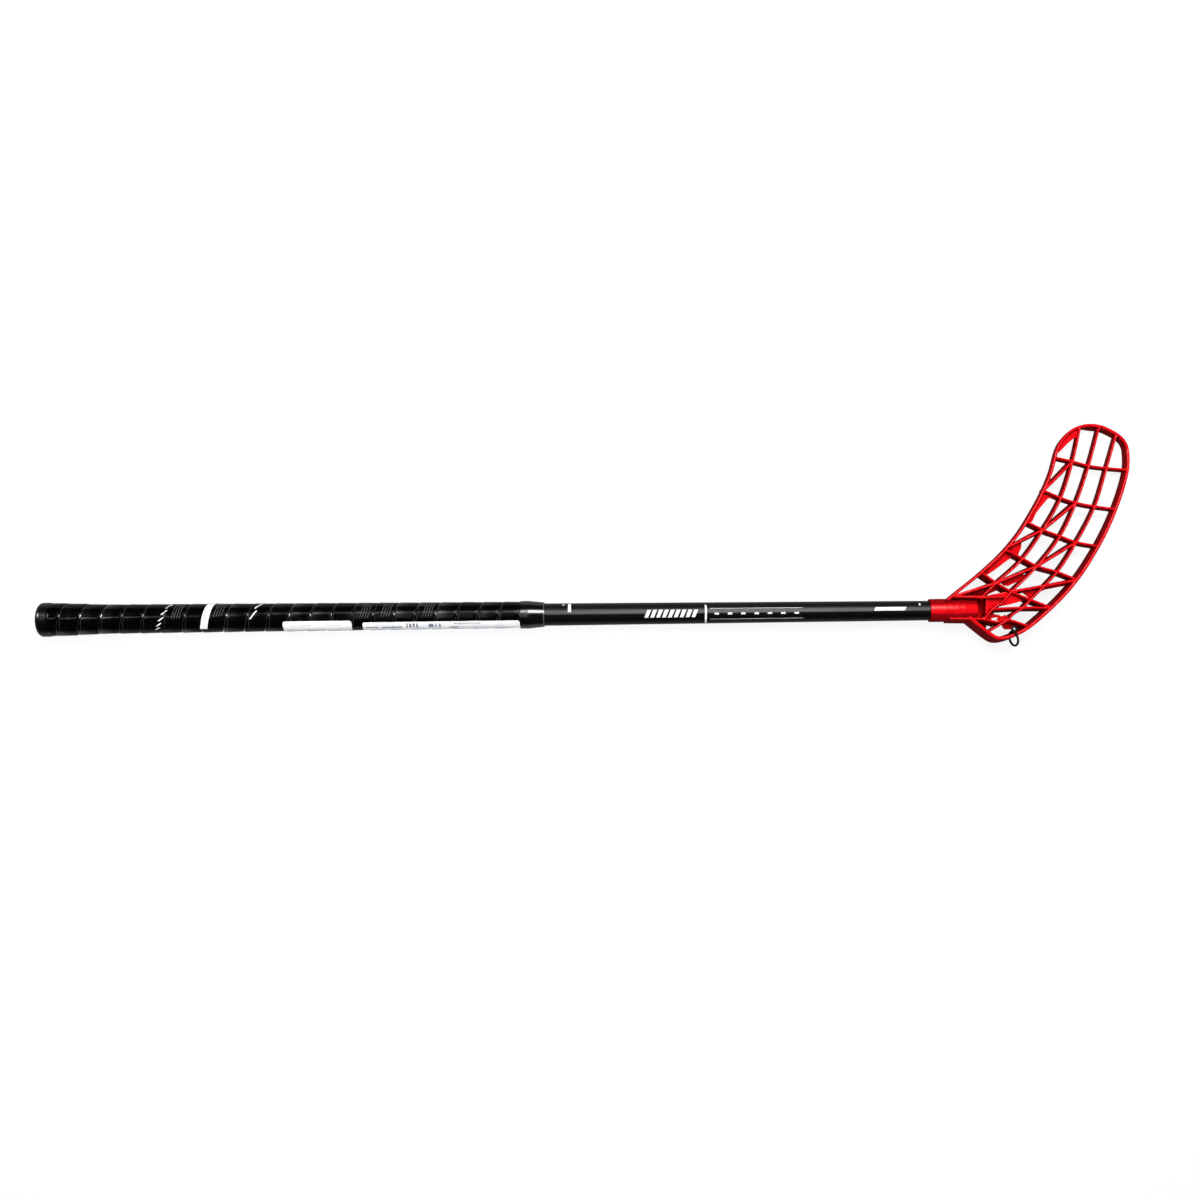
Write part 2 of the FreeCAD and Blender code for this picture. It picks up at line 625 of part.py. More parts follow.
def tag_cord():
    """Round cord of the tag loop, from one side of its ring round the rim to the other."""
    path, radii = cord_path()
    start, second = [V(*place) for place in CORD_ROUTE[:2]]
    ring = Part.makeCircle(CORD_DIAMETER / 2, path.Edges[0].Vertexes[0].Point, second - start)
    cord = path.makePipeShell([Part.Wire(ring)], True, False)
    cord = cord.cut(ring_disc())
    section = math.pi * CORD_DIAMETER ** 2 / 4
    print("tag_cord bend radii:", " ".join(f"{radius:.1f}" for radius in radii))
    print(f"tag_cord length {path.Length:.1f}, volume over section times length "
          f"{cord.Volume / (section * path.Length):.4f}")
    return cord


def tag_ring():
    """Ring with a round hole, which both ends of the cord meet."""
    ring = ring_disc()
    middle = ring.BoundBox.Center - UP * RING_THICKNESS
    hole = Part.makeCylinder(RING_HOLE_DIAMETER / 2, 2 * RING_THICKNESS, middle, UP)
    return ring.cut(hole)


def main():
    """Build each piece and write it under its node's name."""
    os.makedirs("parts", exist_ok=True)
    pieces = {
        "shaft_tube": shaft_tube(),
        "butt_cap": butt_cap(),
        "grip_tape": grip_tape(),
        "grip_end_band": grip_end_band(),
        "grip_band_label": grip_band_label(),
        "grip_label_short": grip_label(
            SHORT_LABEL_PLACE, SHORT_LABEL_LENGTH, SHORT_LABEL_WIDTH, SHORT_LABEL_TURN_DEGREES),
        "grip_label_long": grip_label(
            LONG_LABEL_PLACE, LONG_LABEL_LENGTH, LONG_LABEL_WIDTH, LONG_LABEL_TURN_DEGREES),
        "blade": blade(),
        "blade_screw": blade_screw(),
        "tag_cord": tag_cord(),
        "tag_ring": tag_ring(),
    }
    print(f"grip_tape least gap to itself {tape_self_gap():.2f}")
    for name, shape in pieces.items():
        shape.exportStep(f"parts/{name}.step")
        print(f"{name}: solids {len(shape.Solids)}, valid {shape.isValid()}, volume {shape.Volume:.0f}")


main()
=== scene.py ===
"""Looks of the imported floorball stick: its dressed pieces, the studio and the camera."""

import sys
import logging
import math
from dataclasses import dataclass, field, replace
from enum import Enum
from functools import partial
from typing import Any, Callable, Iterable, Sequence

import bmesh
import bpy
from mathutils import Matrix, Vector


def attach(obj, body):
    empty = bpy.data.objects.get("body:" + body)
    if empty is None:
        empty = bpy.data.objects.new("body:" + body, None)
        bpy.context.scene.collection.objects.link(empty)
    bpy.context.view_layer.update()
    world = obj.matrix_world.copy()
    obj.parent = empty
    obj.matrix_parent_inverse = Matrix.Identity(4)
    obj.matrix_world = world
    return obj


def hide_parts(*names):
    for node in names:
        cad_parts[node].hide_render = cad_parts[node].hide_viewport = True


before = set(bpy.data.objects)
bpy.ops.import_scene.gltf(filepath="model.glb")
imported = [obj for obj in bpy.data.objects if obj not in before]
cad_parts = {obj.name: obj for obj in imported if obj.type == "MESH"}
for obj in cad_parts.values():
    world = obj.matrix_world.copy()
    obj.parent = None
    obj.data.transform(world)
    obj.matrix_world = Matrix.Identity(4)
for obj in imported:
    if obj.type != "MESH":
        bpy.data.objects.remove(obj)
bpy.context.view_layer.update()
LOG = logging.getLogger("floorball_stick")
MM = 0.001
TURN = 2 * math.pi
BODY = "root"
MERGE = 0.005 * MM
WHITE = (1.0, 1.0, 1.0)
Colour = tuple[float, float, float]
Place = tuple[float, float]
Spot = tuple[float, float, float]
Shape = tuple[list[Spot], list[tuple[int, ...]]]


class Slot(Enum):
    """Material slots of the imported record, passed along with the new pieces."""

    GRIP = "grip_black"
    LABEL = "label_white"
    BLADE = "blade_red"
    CORD = "cord_black"


class Kind(Enum):
    """What a named attribute holds."""

    NUMBER = "FLOAT"
    VECTOR = "FLOAT_VECTOR"


def math_node(operation: str, swapped: bool = False) -> Callable[..., "Wire"]:
    """Make a method of Wire that adds one Math node.

    Args:
        operation: the node's operation.
        swapped: whether the wire comes last, as in a reflected operator.

    Returns:
        The method, which takes numbers or wires.
    """

    def method(self: "Wire", *others: Any) -> "Wire":
        """Result of the operation."""
        terms = (*others, self) if swapped else (self, *others)
        return self.graph.node("ShaderNodeMath", {"operation": operation}, dict(enumerate(terms)))

    return method


class Wire:
    """A node's output that takes part in Python arithmetic."""

    __add__, __radd__ = math_node("ADD"), math_node("ADD", True)
    __sub__, __rsub__ = math_node("SUBTRACT"), math_node("SUBTRACT", True)
    __mul__, __rmul__ = math_node("MULTIPLY"), math_node("MULTIPLY", True)
    __truediv__, __pow__, __abs__ = map(math_node, ("DIVIDE", "POWER", "ABSOLUTE"))
    __lt__, __gt__ = math_node("LESS_THAN"), math_node("GREATER_THAN")
    sqrt, sin, cos, fract = map(math_node, ("SQRT", "SINE", "COSINE", "FRACT"))
    angle_to, at_least, at_most = map(math_node, ("ARCTAN2", "MAXIMUM", "MINIMUM"))

    def __init__(self, graph: "Graph", socket: bpy.types.NodeSocket) -> None:
        """Hold a socket together with the graph that it belongs to."""
        self.graph, self.socket = graph, socket

    def clamp(self, low: float, high: float) -> "Wire":
        """Keep within two numbers."""
        return self.at_least(low).at_most(high)

    def between(self, low: float, high: float) -> "Wire":
        """1 between two numbers and 0 elsewhere."""
        return (self > low) * (self < high)

    def thinned(self, mask: "Wire", share: float) -> "Wire":
        """This, less a share of it where a mask is 0."""
        return self * (1 - share + mask * share)

    def ramp(self, low: float, high: float) -> "Wire":
        """Smooth rise from 0 at one number to 1 at another."""
        settings = {"interpolation_type": "SMOOTHSTEP"}
        return self.graph.node("ShaderNodeMapRange", settings, {0: self, 1: low, 2: high})


class Graph:
    """A node tree that is written as expressions."""

    def __init__(self, tree: bpy.types.NodeTree) -> None:
        """Work on a shader or geometry tree."""
        self.tree = tree

    def node(self, kind: str, settings: dict | None = None, inputs: dict | None = None,
             output: int | str = 0) -> Wire:
        """Add any node.

        Args:
            kind: the node's type.
            settings: attributes, which are set first.
            inputs: numbers, names, colours or wires by socket name or number.
            output: name or number of the output to return.

        Returns:
            The chosen output.
        """
        made = self.tree.nodes.new(kind)
        for key, value in (settings or {}).items():
            setattr(made, key, value)
        for key, value in (inputs or {}).items():
            self.feed(made.inputs[key], value)
        return Wire(self, made.outputs[output])

    def feed(self, socket: bpy.types.NodeSocket, value: Any) -> None:
        """Link a wire to an input, or set a plain value on it.

        Args:
            socket: the input.
            value: a wire, a number, a name or a colour of three parts.
        """
        if isinstance(value, Wire):
            self.tree.links.new(value.socket, socket)
        else:
            socket.default_value = (*value, 1) if socket.type == "RGBA" else value

    def split(self, vector: Wire) -> list[Wire]:
        """The three parts of a vector."""
        parts = self.node("ShaderNodeSeparateXYZ", None, {0: vector}).socket.node
        return [Wire(self, socket) for socket in parts.outputs]

    def vector(self, x: Any, y: Any, z: Any) -> Wire:
        """A vector from three parts."""
        return self.node("ShaderNodeCombineXYZ", None, {0: x, 1: y, 2: z})

    def mix(self, factor: Any, first: Wire | Colour, second: Wire | Colour) -> Wire:
        """Blend two colours."""
        inputs = {0: factor, 6: first, 7: second}
        return self.node("ShaderNodeMix", {"data_type": "RGBA"}, inputs, 2)

    def place(self) -> Wire:
        """Object coordinates, in metres."""
        return self.node("ShaderNodeTexCoord", output="Object")

    def noise(self, scale: float, detail: float, where: Wire | None = None) -> Wire:
        """Noise of a number of cells per metre."""
        inputs = {"Vector": where or self.place(), "Scale": scale, "Detail": detail}
        return self.node("ShaderNodeTexNoise", None, inputs)

    def attribute(self, name: str) -> Wire:
        """A number stored on a mesh under a name."""
        return self.node("ShaderNodeAttribute", {"attribute_name": name}, output="Fac")

    def bump(self, height: Wire, depth: float) -> Wire:
        """Normal of a height field of a depth in metres."""
        return self.node("ShaderNodeBump", None, {"Height": height, "Distance": depth})


def grey(tone: float) -> Colour:
    """A colour of three equal parts."""
    return tone, tone, tone


@dataclass(frozen=True)
class Finish:
    """A surface finish with fine grain and patchy gloss."""

    name: str
    colour: Colour
    shade: Colour
    roughness: float
    roughness_spread: float = 0.06
    patch_scale: float = 90
    patch_edge: Place = (0.35, 0.65)
    gloss_scale: float = 2.3
    grain_scale: float = 3000
    grain_depth: float = 0.03 * MM
    specular: float = 0.5
    coat: float = 0.0
    coat_roughness: float = 0.1
    metallic: float = 0.0

    def colours(self, graph: Graph) -> Wire:
        """Base colour over the surface: two tones in soft patches."""
        patches = graph.noise(self.patch_scale, 3).ramp(*self.patch_edge)
        return graph.mix(patches, self.colour, self.shade)

    def roughnesses(self, graph: Graph) -> Wire:
        """Roughness over the surface."""
        patches = graph.noise(self.patch_scale * self.gloss_scale, 4) - 0.5
        return self.roughness + patches * self.roughness_spread * 2

    def coats(self, graph: Graph) -> Wire | float:
        """Weight of the clear gloss over the surface."""
        return self.coat

    def heights(self, graph: Graph) -> Wire:
        """Height of the fine grain, from 0 to 1."""
        return graph.noise(self.grain_scale, 2)

    def material(self) -> bpy.types.Material:
        """Build the material.

        Returns:
            A new material with all its nodes.
        """
        made = bpy.data.materials.new(self.name)
        made.use_nodes = True
        made.diffuse_color = (*self.colour, 1)
        graph = Graph(made.node_tree)
        shader = made.node_tree.nodes["Principled BSDF"]
        for socket, value in {
            "Base Color": self.colours(graph),
            "Roughness": self.roughnesses(graph),
            "Normal": graph.bump(self.heights(graph), self.grain_depth),
            "Specular IOR Level": self.specular,
            "Coat Weight": self.coats(graph),
            "Coat Roughness": self.coat_roughness,
            "Metallic": self.metallic,
        }.items():
            graph.feed(shader.inputs[socket], value)
        return made


@dataclass(frozen=True)
class WoundGrip(Finish):
    """Glossy tape with painted highlight lines along the lap edges, thin grey lines on a few turns
    and white slashes.

    A slash runs between two places along the shaft and two turns, in degrees from the top.
    """

    edge: float = 0.026
    # grey of the painted highlight along each lap edge
    edge_highlight_tone: float = 0.03
    edge_highlight_breakup: float = 0.6
    fan: float = 0.22
    fan_line: float = 0.012
    breakup_scale: float = 400
    breakup_edge: Place = (0.3, 0.6)
    line_turns: tuple[float, ...] = (5.1, 7.12, 14.08, 15.1, 17.1)
    line_half_turn: float = 0.1
    line_reach: Place = (0.36, 0.84)
    lines_across: float = 8
    line_fill: Place = (0.35, 0.65)
    line_tone: float = 0.07
    line_wear: float = 0.4
    smear_reach: Place = (0.05, 0.75)
    smear_scale: float = 45
    smear_edge: Place = (0.4, 0.6)
    slashes: tuple[tuple[float, float, float, float], ...] = (
        (0.219, 0.2255, -6, 30), (0.2234, 0.2299, 40, 72), (0.1216, 0.1264, -50, -38),
        (0.1236, 0.1284, -32, -18), (0.1262, 0.1310, -10, 6), (0.1290, 0.1338, 16, 34),
        (0.1326, 0.1374, 46, 70),
    )
    slash_half: float = 0.9 * MM
    slash_tone: float = 0.85

    def coats(self, graph: Graph) -> Wire:
        """Soft sheen in patches beside the edge that laps the turn before."""
        near = 1 - graph.attribute("across").ramp(*self.smear_reach)
        return near * graph.noise(self.smear_scale, 2).ramp(*self.smear_edge) * self.coat

    def marks(self, graph: Graph) -> Wire:
        """Mask of the slashes.

        Args:
            graph: the material's graph.

        Returns:
            1 on a slash and 0 elsewhere.
        """
        x, y, z = graph.split(graph.place())
        turn, found = y.angle_to(z), []
        for first, last, low, high in self.slashes:
            share = (turn - math.radians(low)) / math.radians(high - low)
            line = abs(x - first - share * (last - first)) < self.slash_half
            found.append(share.between(0, 1) * line)
        return sum(found)

    def colours(self, graph: Graph) -> Wire:
        """Black with painted highlight lines along each lap edge and beside it, the grey lines and
        the slashes.

        Args:
            graph: the material's graph.

        Returns:
            The base colour.
        """
        turn, across = graph.attribute("turn"), graph.attribute("across")
        # 0 on the side that the blade reaches to, rising to 1 on the other
        side = abs((turn + 0.25).fract() - 0.5) * 2
        beside = abs(across - self.edge - side * self.fan) < self.fan_line
        lap_highlights = (across.between(0.0, self.edge) + beside).clamp(0, 1)
        groups = sum(abs(turn - middle) < self.line_half_turn for middle in self.line_turns)
        lines = (across * self.lines_across).fract().between(*self.line_fill)
        lines = lines * groups * across.between(*self.line_reach)
        breakup_mask = graph.noise(self.breakup_scale, 2).ramp(*self.breakup_edge)
        black = super().colours(graph)
        black = graph.mix(lines.thinned(breakup_mask, self.line_wear), black, grey(self.line_tone))
        # painted highlight: grey lines along each lap edge and beside it, broken up by noise
        black = graph.mix(lap_highlights.thinned(breakup_mask, self.edge_highlight_breakup), black, grey(self.edge_highlight_tone))
        return graph.mix(self.marks(graph), black, grey(self.slash_tone))


@dataclass(frozen=True)
class CreasedBand(Finish):
    """Shrunk film with creases round the shaft and a painted highlight ring at its cut edge."""

    edge: Place = (517.0 * MM, 517.9 * MM)
    # grey of the painted highlight ring
    edge_highlight_tone: float = 0.08

    def colours(self, graph: Graph) -> Wire:
        """Black with a thin painted highlight ring at the end."""
        x = graph.split(graph.place())[0]
        # painted highlight: a thin pale ring at the band's end
        return graph.mix(x.between(*self.edge), super().colours(graph), grey(self.edge_highlight_tone))

    def heights(self, graph: Graph) -> Wire:
        """Height of the creases, which run round the shaft."""
        x = graph.split(graph.place())[0]
        return graph.noise(self.grain_scale, 2, graph.vector(x, 0, 0))


@dataclass(frozen=True, kw_only=True)
class PrintedLabel(Finish):
    """White sticker with plain rules and bars printed on it.

    A rule has two shares of the sticker's length, two turns in degrees and its strength.
    """

    start: float
    length: float
    rules: tuple[tuple[float, float, float, float, float], ...]
    ink: Colour = (0.05, 0.06, 0.09)
    broken_scale: float = 700
    broken_edge: Place = (0.42, 0.58)
    broken_share: float = 0.35

    def colours(self, graph: Graph) -> Wire:
        """White with grey bars at places along and round the sticker.

        Args:
            graph: the material's graph.

        Returns:
            The base colour.
        """
        x, y, z = graph.split(graph.place())
        along, turn, marks = (x - self.start) / self.length, y.angle_to(z), []
        for first, last, low, high, strength in self.rules:
            inside = turn.between(math.radians(low), math.radians(high))
            marks.append(along.between(first, last) * inside * strength)
        whole = graph.noise(self.broken_scale, 1).ramp(*self.broken_edge)
        ink = sum(marks).thinned(whole, self.broken_share)
        return graph.mix(ink, super().colours(graph), self.ink)


@dataclass(frozen=True)
class MouldedBlade(Finish):
    """Red plastic with polished edges, duller side walls and painted shade that darkens the walls.
    """

    # painted shade: the darker red that the walls take in their colour
    painted_wall_shade: Colour = (0.31, 0.002, 0.004)
    wall_roughness: float = 0.2
    wall_coat: float = 0.08
    wall_facing: Place = (0.3, 0.92)
    lean: float = 0.0

    def sides(self, graph: Graph) -> Wire:
        """Mask of the side walls.

        Args:
            graph: the material's graph.

        Returns:
            1 on upright walls, falling to 0 on faces along the way that the mould opens.
        """
        _, y, z = graph.split(graph.node("ShaderNodeNewGeometry", output="Normal"))
        # the lean tilts the mask so that faces turned towards -y take more of the painted shade
        facing = (z + y * self.lean) / math.hypot(1, self.lean)
        return 1 - abs(facing).ramp(*self.wall_facing)

    def colours(self, graph: Graph) -> Wire:
        """Red with painted shade on the walls."""
        # painted shade: darker red mixed in where the normal mask marks walls
        return graph.mix(self.sides(graph), super().colours(graph), self.painted_wall_shade)

    def roughnesses(self, graph: Graph) -> Wire:
        """Rougher on the walls."""
        return super().roughnesses(graph) + self.sides(graph) * self.wall_roughness

    def coats(self, graph: Graph) -> Wire:
        """Gloss on the edges and little on the walls."""
        return self.coat + self.sides(graph) * (self.wall_coat - self.coat)


RED = MouldedBlade(
    "moulded_red", (0.8, 0.003, 0.008), (0.7, 0.0025, 0.006), 0.3, grain_depth=0.02 * MM,
    specular=0.0, coat=0.25, coat_roughness=0.2)
# painted shade: the socket's edges and its side towards -y take a darker red
SOCKET_RED = replace(
    RED, name="socket_red", wall_facing=(0.86, 0.98), lean=0.15, painted_wall_shade=(0.25, 0.002, 0.004))
SHAFT_LACQUER = Finish(
    "satin_lacquer", (0.0006, 0.0006, 0.0007), (0.001, 0.001, 0.0011), 0.38, grain_scale=2200,
    grain_depth=0.015 * MM, specular=0.3)
CAP_PLASTIC = Finish(
    "cap_plastic", grey(0.001), grey(0.002), 0.24, grain_scale=1500, specular=0.35)
GRIP = WoundGrip(
    "wound_grip", (0.0006, 0.0006, 0.0007), (0.0012, 0.0012, 0.0013), 0.13,
    roughness_spread=0.05, patch_scale=70, grain_scale=140, grain_depth=0.06 * MM, specular=0.12,
    coat=1.0, coat_roughness=0.18)
BAND_FILM = CreasedBand(
    "band_film", (0.001, 0.001, 0.0012), (0.002, 0.002, 0.0022), 0.16, grain_scale=320,
    grain_depth=0.4 * MM, specular=0.8)
PRINT_WHITE = Finish("print_white", grey(0.88), (0.8, 0.8, 0.81), 0.4, specular=0.3)
STEEL = Finish(
    "screw_steel", (0.55, 0.55, 0.56), (0.42, 0.42, 0.43), 0.32, metallic=1.0,
    grain_depth=0.01 * MM)
BRAID = Finish(
    "cord_braid", grey(0.002), grey(0.004), 0.8, grain_scale=2500, grain_depth=0.2 * MM,
    specular=0.15)
RING_PLASTIC = Finish("ring_plastic", grey(0.003), grey(0.005), 0.35, specular=0.3)
STRIP_LABEL = PrintedLabel(
    "strip_label", grey(0.9), (0.86, 0.86, 0.87), 0.35, specular=0.3, start=0.16, length=0.03,
    rules=((0.42, 0.5, -5, 30, 0.5),))
SHORT_LABEL = PrintedLabel(
    "short_label", (0.95, 0.96, 0.98), (0.9, 0.92, 0.95), 0.32, specular=0.3, start=0.252,
    length=0.07, rules=(
        (0.1, 0.42, -38, -35, 0.5), (0.62, 0.86, -38, -35, 0.5), (0.35, 0.62, -60, -57, 0.5)))
LONG_LABEL = PrintedLabel(
    "long_label", (0.95, 0.96, 0.98), (0.82, 0.86, 0.9), 0.32, specular=0.3, start=0.333,
    length=0.16, rules=(
        (0.02, 0.1, -54, -46, 0.8), (0.12, 0.25, -54, -46, 1.0), (0.277, 0.287, -53, -31, 1.0),
        (0.297, 0.309, -53, -31, 1.0), (0.319, 0.331, -53, -31, 1.0),
        (0.341, 0.351, -53, -31, 1.0), (0.42, 0.45, -52, -34, 0.9), (0.46, 0.47, -52, -34, 0.8),
        (0.485, 0.497, -52, -34, 1.0), (0.58, 0.75, -37, -29, 0.5), (0.55, 0.61, -57, -49, 0.8)))


def linked(name: str, data: bpy.types.ID) -> bpy.types.Object:
    """Put data in the scene as an object at the origin.

    Args:
        name: the object's name.
        data: a mesh, curve, light or camera.

    Returns:
        The new object.
    """
    made = bpy.data.objects.new(name, data)
    bpy.context.scene.collection.objects.link(made)
    return made


def mesh_of(name: str, points: Sequence, faces: Sequence = (),
            edges: Sequence = ()) -> bpy.types.Mesh:
    """Make a mesh from points and what joins them.

    Args:
        name: the mesh's name.
        points: places of its points.
        faces: numbers of each face's points.
        edges: numbers of each loose edge's points.

    Returns:
        The new mesh.
    """
    made = bpy.data.meshes.new(name)
    made.from_pydata([tuple(point) for point in points], list(edges), list(faces))
    made.update()
    return made


def polar(x: float, radius: float, turn: float) -> Spot:
    """Point at a place along the shaft, from its radius and its turn from the top."""
    return x, radius * math.sin(turn), radius * math.cos(turn)


def quads(rows: int, columns: int, ring: bool = False, loop: bool = False) -> list[tuple]:
    """Faces over a grid of points that are listed row by row.

    Args:
        rows: how many rows of points there are.
        columns: how many points a row has.
        ring: whether each row closes on itself.
        loop: whether the last row joins the first.

    Returns:
        Four point numbers for each face.
    """
    made = []
    for i in range(rows if loop else rows - 1):
        for j in range(columns if ring else columns - 1):
            corners = ((i, j), (i, j + 1), (i + 1, j + 1), (i + 1, j))
            made.append(tuple(row % rows * columns + column % columns for row, column in corners))
    return made


def gathered(shapes: Iterable[Shape]) -> Shape:
    """Put several shapes into one list of points and one of faces.

    Args:
        shapes: points and faces of each.

    Returns:
        All points, and the faces with their new numbers.
    """
    points, faces = [], []
    for more, sides in shapes:
        faces += [tuple(len(points) + number for number in side) for side in sides]
        points += more
    return points, faces


def tidied(mesh: bpy.types.Mesh) -> bpy.types.Mesh:
    """Merge doubles, turn faces outwards and shade them smoothly.

    Args:
        mesh: the mesh to mend.

    Returns:
        The same mesh.
    """
    work = bmesh.new()
    work.from_mesh(mesh)
    bmesh.ops.remove_doubles(work, verts=work.verts, dist=MERGE)
    bmesh.ops.recalc_face_normals(work, faces=work.faces)
    for face in work.faces:
        face.smooth = True
    work.to_mesh(mesh)
    work.free()
    return mesh


def frozen(piece: bpy.types.Object) -> bpy.types.Mesh:
    """Turn an object's modifiers into plain mesh, and mend it.

    Args:
        piece: the object with its modifiers.

    Returns:
        Its new mesh.
    """
    graph = bpy.context.evaluated_depsgraph_get()
    made = bpy.data.meshes.new_from_object(piece.evaluated_get(graph))
    piece.modifiers.clear()
    piece.data = made
    return tidied(made)


def joined(name: str, parts: Sequence[bpy.types.Object]) -> bpy.types.Object:
    """Join objects into the first of them.

    Args:
        name: the joined object's name.
        parts: the objects.

    Returns:
        The first object, which holds them all.
    """
    whole = parts[0]
    with bpy.context.temp_override(active_object=whole, selected_editable_objects=list(parts)):
        bpy.ops.object.join()
    whole.name = whole.data.name = name
    return whole


def settled(piece: bpy.types.Object, slot: Slot, *nodes: str) -> None:
    """Let a piece ride on the stick and stand for CAD nodes.

    Args:
        piece: the finished piece.
        slot: the record's material slot; not used.
        nodes: CAD nodes that it replaces.
    """
    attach(piece, BODY)
    if nodes:
        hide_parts(*nodes)
    LOG.info("piece %s for %s", piece.name, ", ".join(nodes) or "detail")


def dressed(node: str, finish: Finish) -> bpy.types.Object:
    """Give a CAD node a finish in all its material slots.

    Args:
        node: the node's name.
        finish: its finish.

    Returns:
        The node's object.
    """
    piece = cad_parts[node]
    piece.data.materials.clear()
    piece.data.materials.append(finish.material())
    LOG.info("CAD node %s in %s", node, finish.name)
    return piece


class NodeShape:
    """A Geometry Nodes tree with named sizes that makes one mesh."""

    def __init__(self, name: str, sizes: dict[str, float]) -> None:
        """Make the tree, its inputs and its output.

        Args:
            name: the tree's name.
            sizes: named inputs and their values.
        """
        self.tree = bpy.data.node_groups.new(name, "GeometryNodeTree")
        self.tree.is_modifier = True
        self.graph = Graph(self.tree)
        face = self.tree.interface
        for way in ("OUTPUT", "INPUT"):
            face.new_socket("Geometry", in_out=way, socket_type="NodeSocketGeometry")
        self.values: dict[str, float] = {}
        for key, value in sizes.items():
            socket = face.new_socket(key, in_out="INPUT", socket_type="NodeSocketFloat")
            self.values[socket.identifier] = float(value)
        self.skin = face.new_socket("Material", in_out="INPUT", socket_type="NodeSocketMaterial")
        self.start = self.tree.nodes.new("NodeGroupInput")
        self.source = self.size("Geometry")

    def size(self, name: str) -> Wire:
        """One of the tree's inputs."""
        return Wire(self.graph, self.start.outputs[name])

    def store(self, geometry: Wire, name: str, value: Any, kind: Kind = Kind.NUMBER) -> Wire:
        """Keep a value on each point under a name."""
        return self.graph.node(
            "GeometryNodeStoreNamedAttribute", {"data_type": kind.value, "domain": "POINT"},
            {"Geometry": geometry, "Name": name, "Value": value})

    def kept(self, name: str, kind: Kind = Kind.NUMBER) -> Wire:
        """A value kept on each point."""
        settings = {"data_type": kind.value}
        return self.graph.node("GeometryNodeInputNamedAttribute", settings, {"Name": name})

    def swept(self, path: Wire, outline: Wire) -> Wire:
        """Closed mesh of an outline along a path."""
        inputs = {"Curve": path, "Profile Curve": outline, "Fill Caps": True}
        return self.graph.node("GeometryNodeCurveToMesh", None, inputs)

    def moved(self, geometry: Wire, place: Wire) -> Wire:
        """Points set to new places."""
        inputs = {"Geometry": geometry, "Position": place}
        return self.graph.node("GeometryNodeSetPosition", None, inputs)

    def realized(self, geometry: Wire) -> Wire:
        """Instances turned into real mesh."""
        return self.graph.node("GeometryNodeRealizeInstances", None, {"Geometry": geometry})

    def finished(self, geometry: Wire) -> None:
        """End the tree in real mesh with its material.

        Args:
            geometry: what the tree has made.
        """
        inputs = {"Geometry": self.realized(geometry), "Material": self.size("Material")}
        end = self.tree.nodes.new("NodeGroupOutput")
        skinned = self.graph.node("GeometryNodeSetMaterial", None, inputs)
        self.graph.feed(end.inputs["Geometry"], skinned)

    def mesh(self, name: str, seed: bpy.types.Mesh,
             skin: bpy.types.Material) -> bpy.types.Object:
        """Run the tree on a seed mesh and keep the plain result.

        Args:
            name: the object's name.
            seed: mesh that the tree starts from.
            skin: material of the result.

        Returns:
            An object with no modifier.
        """
        piece = linked(name, seed)
        shape = piece.modifiers.new(name, "NODES")
        shape.node_group = self.tree
        for key, value in self.values.items():
            shape[key] = value
        shape[self.skin.identifier] = skin
        frozen(piece)
        return piece


@dataclass(frozen=True)
class Arc:
    """Circular arc of height over a line, level outside its ends."""

    first: float
    last: float
    middle: float
    level: float
    radius: float

    @classmethod
    def through(cls, start: Place, crown: Place, end: Place) -> "Arc":
        """Arc that bulges up through three points.

        Args:
            start: the first point.
            crown: a point between the ends.
            end: the last point.

        Returns:
            The arc.
        """
        (x1, y1), (x2, y2), (x3, y3) = start, crown, end
        s1, s2, s3 = (x * x + y * y for x, y in (start, crown, end))
        d = 2 * (x1 * (y2 - y3) + x2 * (y3 - y1) + x3 * (y1 - y2))
        x = (s1 * (y2 - y3) + s2 * (y3 - y1) + s3 * (y1 - y2)) / d
        y = (s1 * (x3 - x2) + s2 * (x1 - x3) + s3 * (x2 - x1)) / d
        return cls(x1, x3, x, y, math.hypot(x1 - x, y1 - y))

    def height(self, along: float) -> float:
        """Height at a place."""
        x = min(max(along, self.first), self.last) - self.middle
        return self.level + math.sqrt(self.radius ** 2 - x * x)

    def wire(self, along: Wire) -> Wire:
        """The same height as nodes."""
        x = along.clamp(self.first, self.last) - self.middle
        return self.level + (self.radius ** 2 - x * x).sqrt()


@dataclass(frozen=True)
class Mark:
    """A bar on a round face: ends along it in millimetres, turns from its top in degrees.

    The upper end is moved along by the lean, in millimetres.
    """

    first: float
    last: float
    low: float
    high: float
    lean: float = 0.0

    def split(self, count: int, fill: float, offset: float = 0.0) -> list["Mark"]:
        """Row of equal bars in this one's place.

        Args:
            count: how many bars.
            fill: share of a step that a bar takes.
            offset: share of a step before each bar.

        Returns:
            The bars.
        """
        step = (self.last - self.first) / count
        starts = [self.first + (i + offset) * step for i in range(count)]
        return [replace(self, first=x, last=x + step * fill) for x in starts]

    def row(self, share: float) -> Spot:
        """Both ends in metres and the turn in radians, at a share of the way up."""
        first, last = ((end + self.lean * share) * MM for end in (self.first, self.last))
        return first, last, math.radians(self.low + (self.high - self.low) * share)


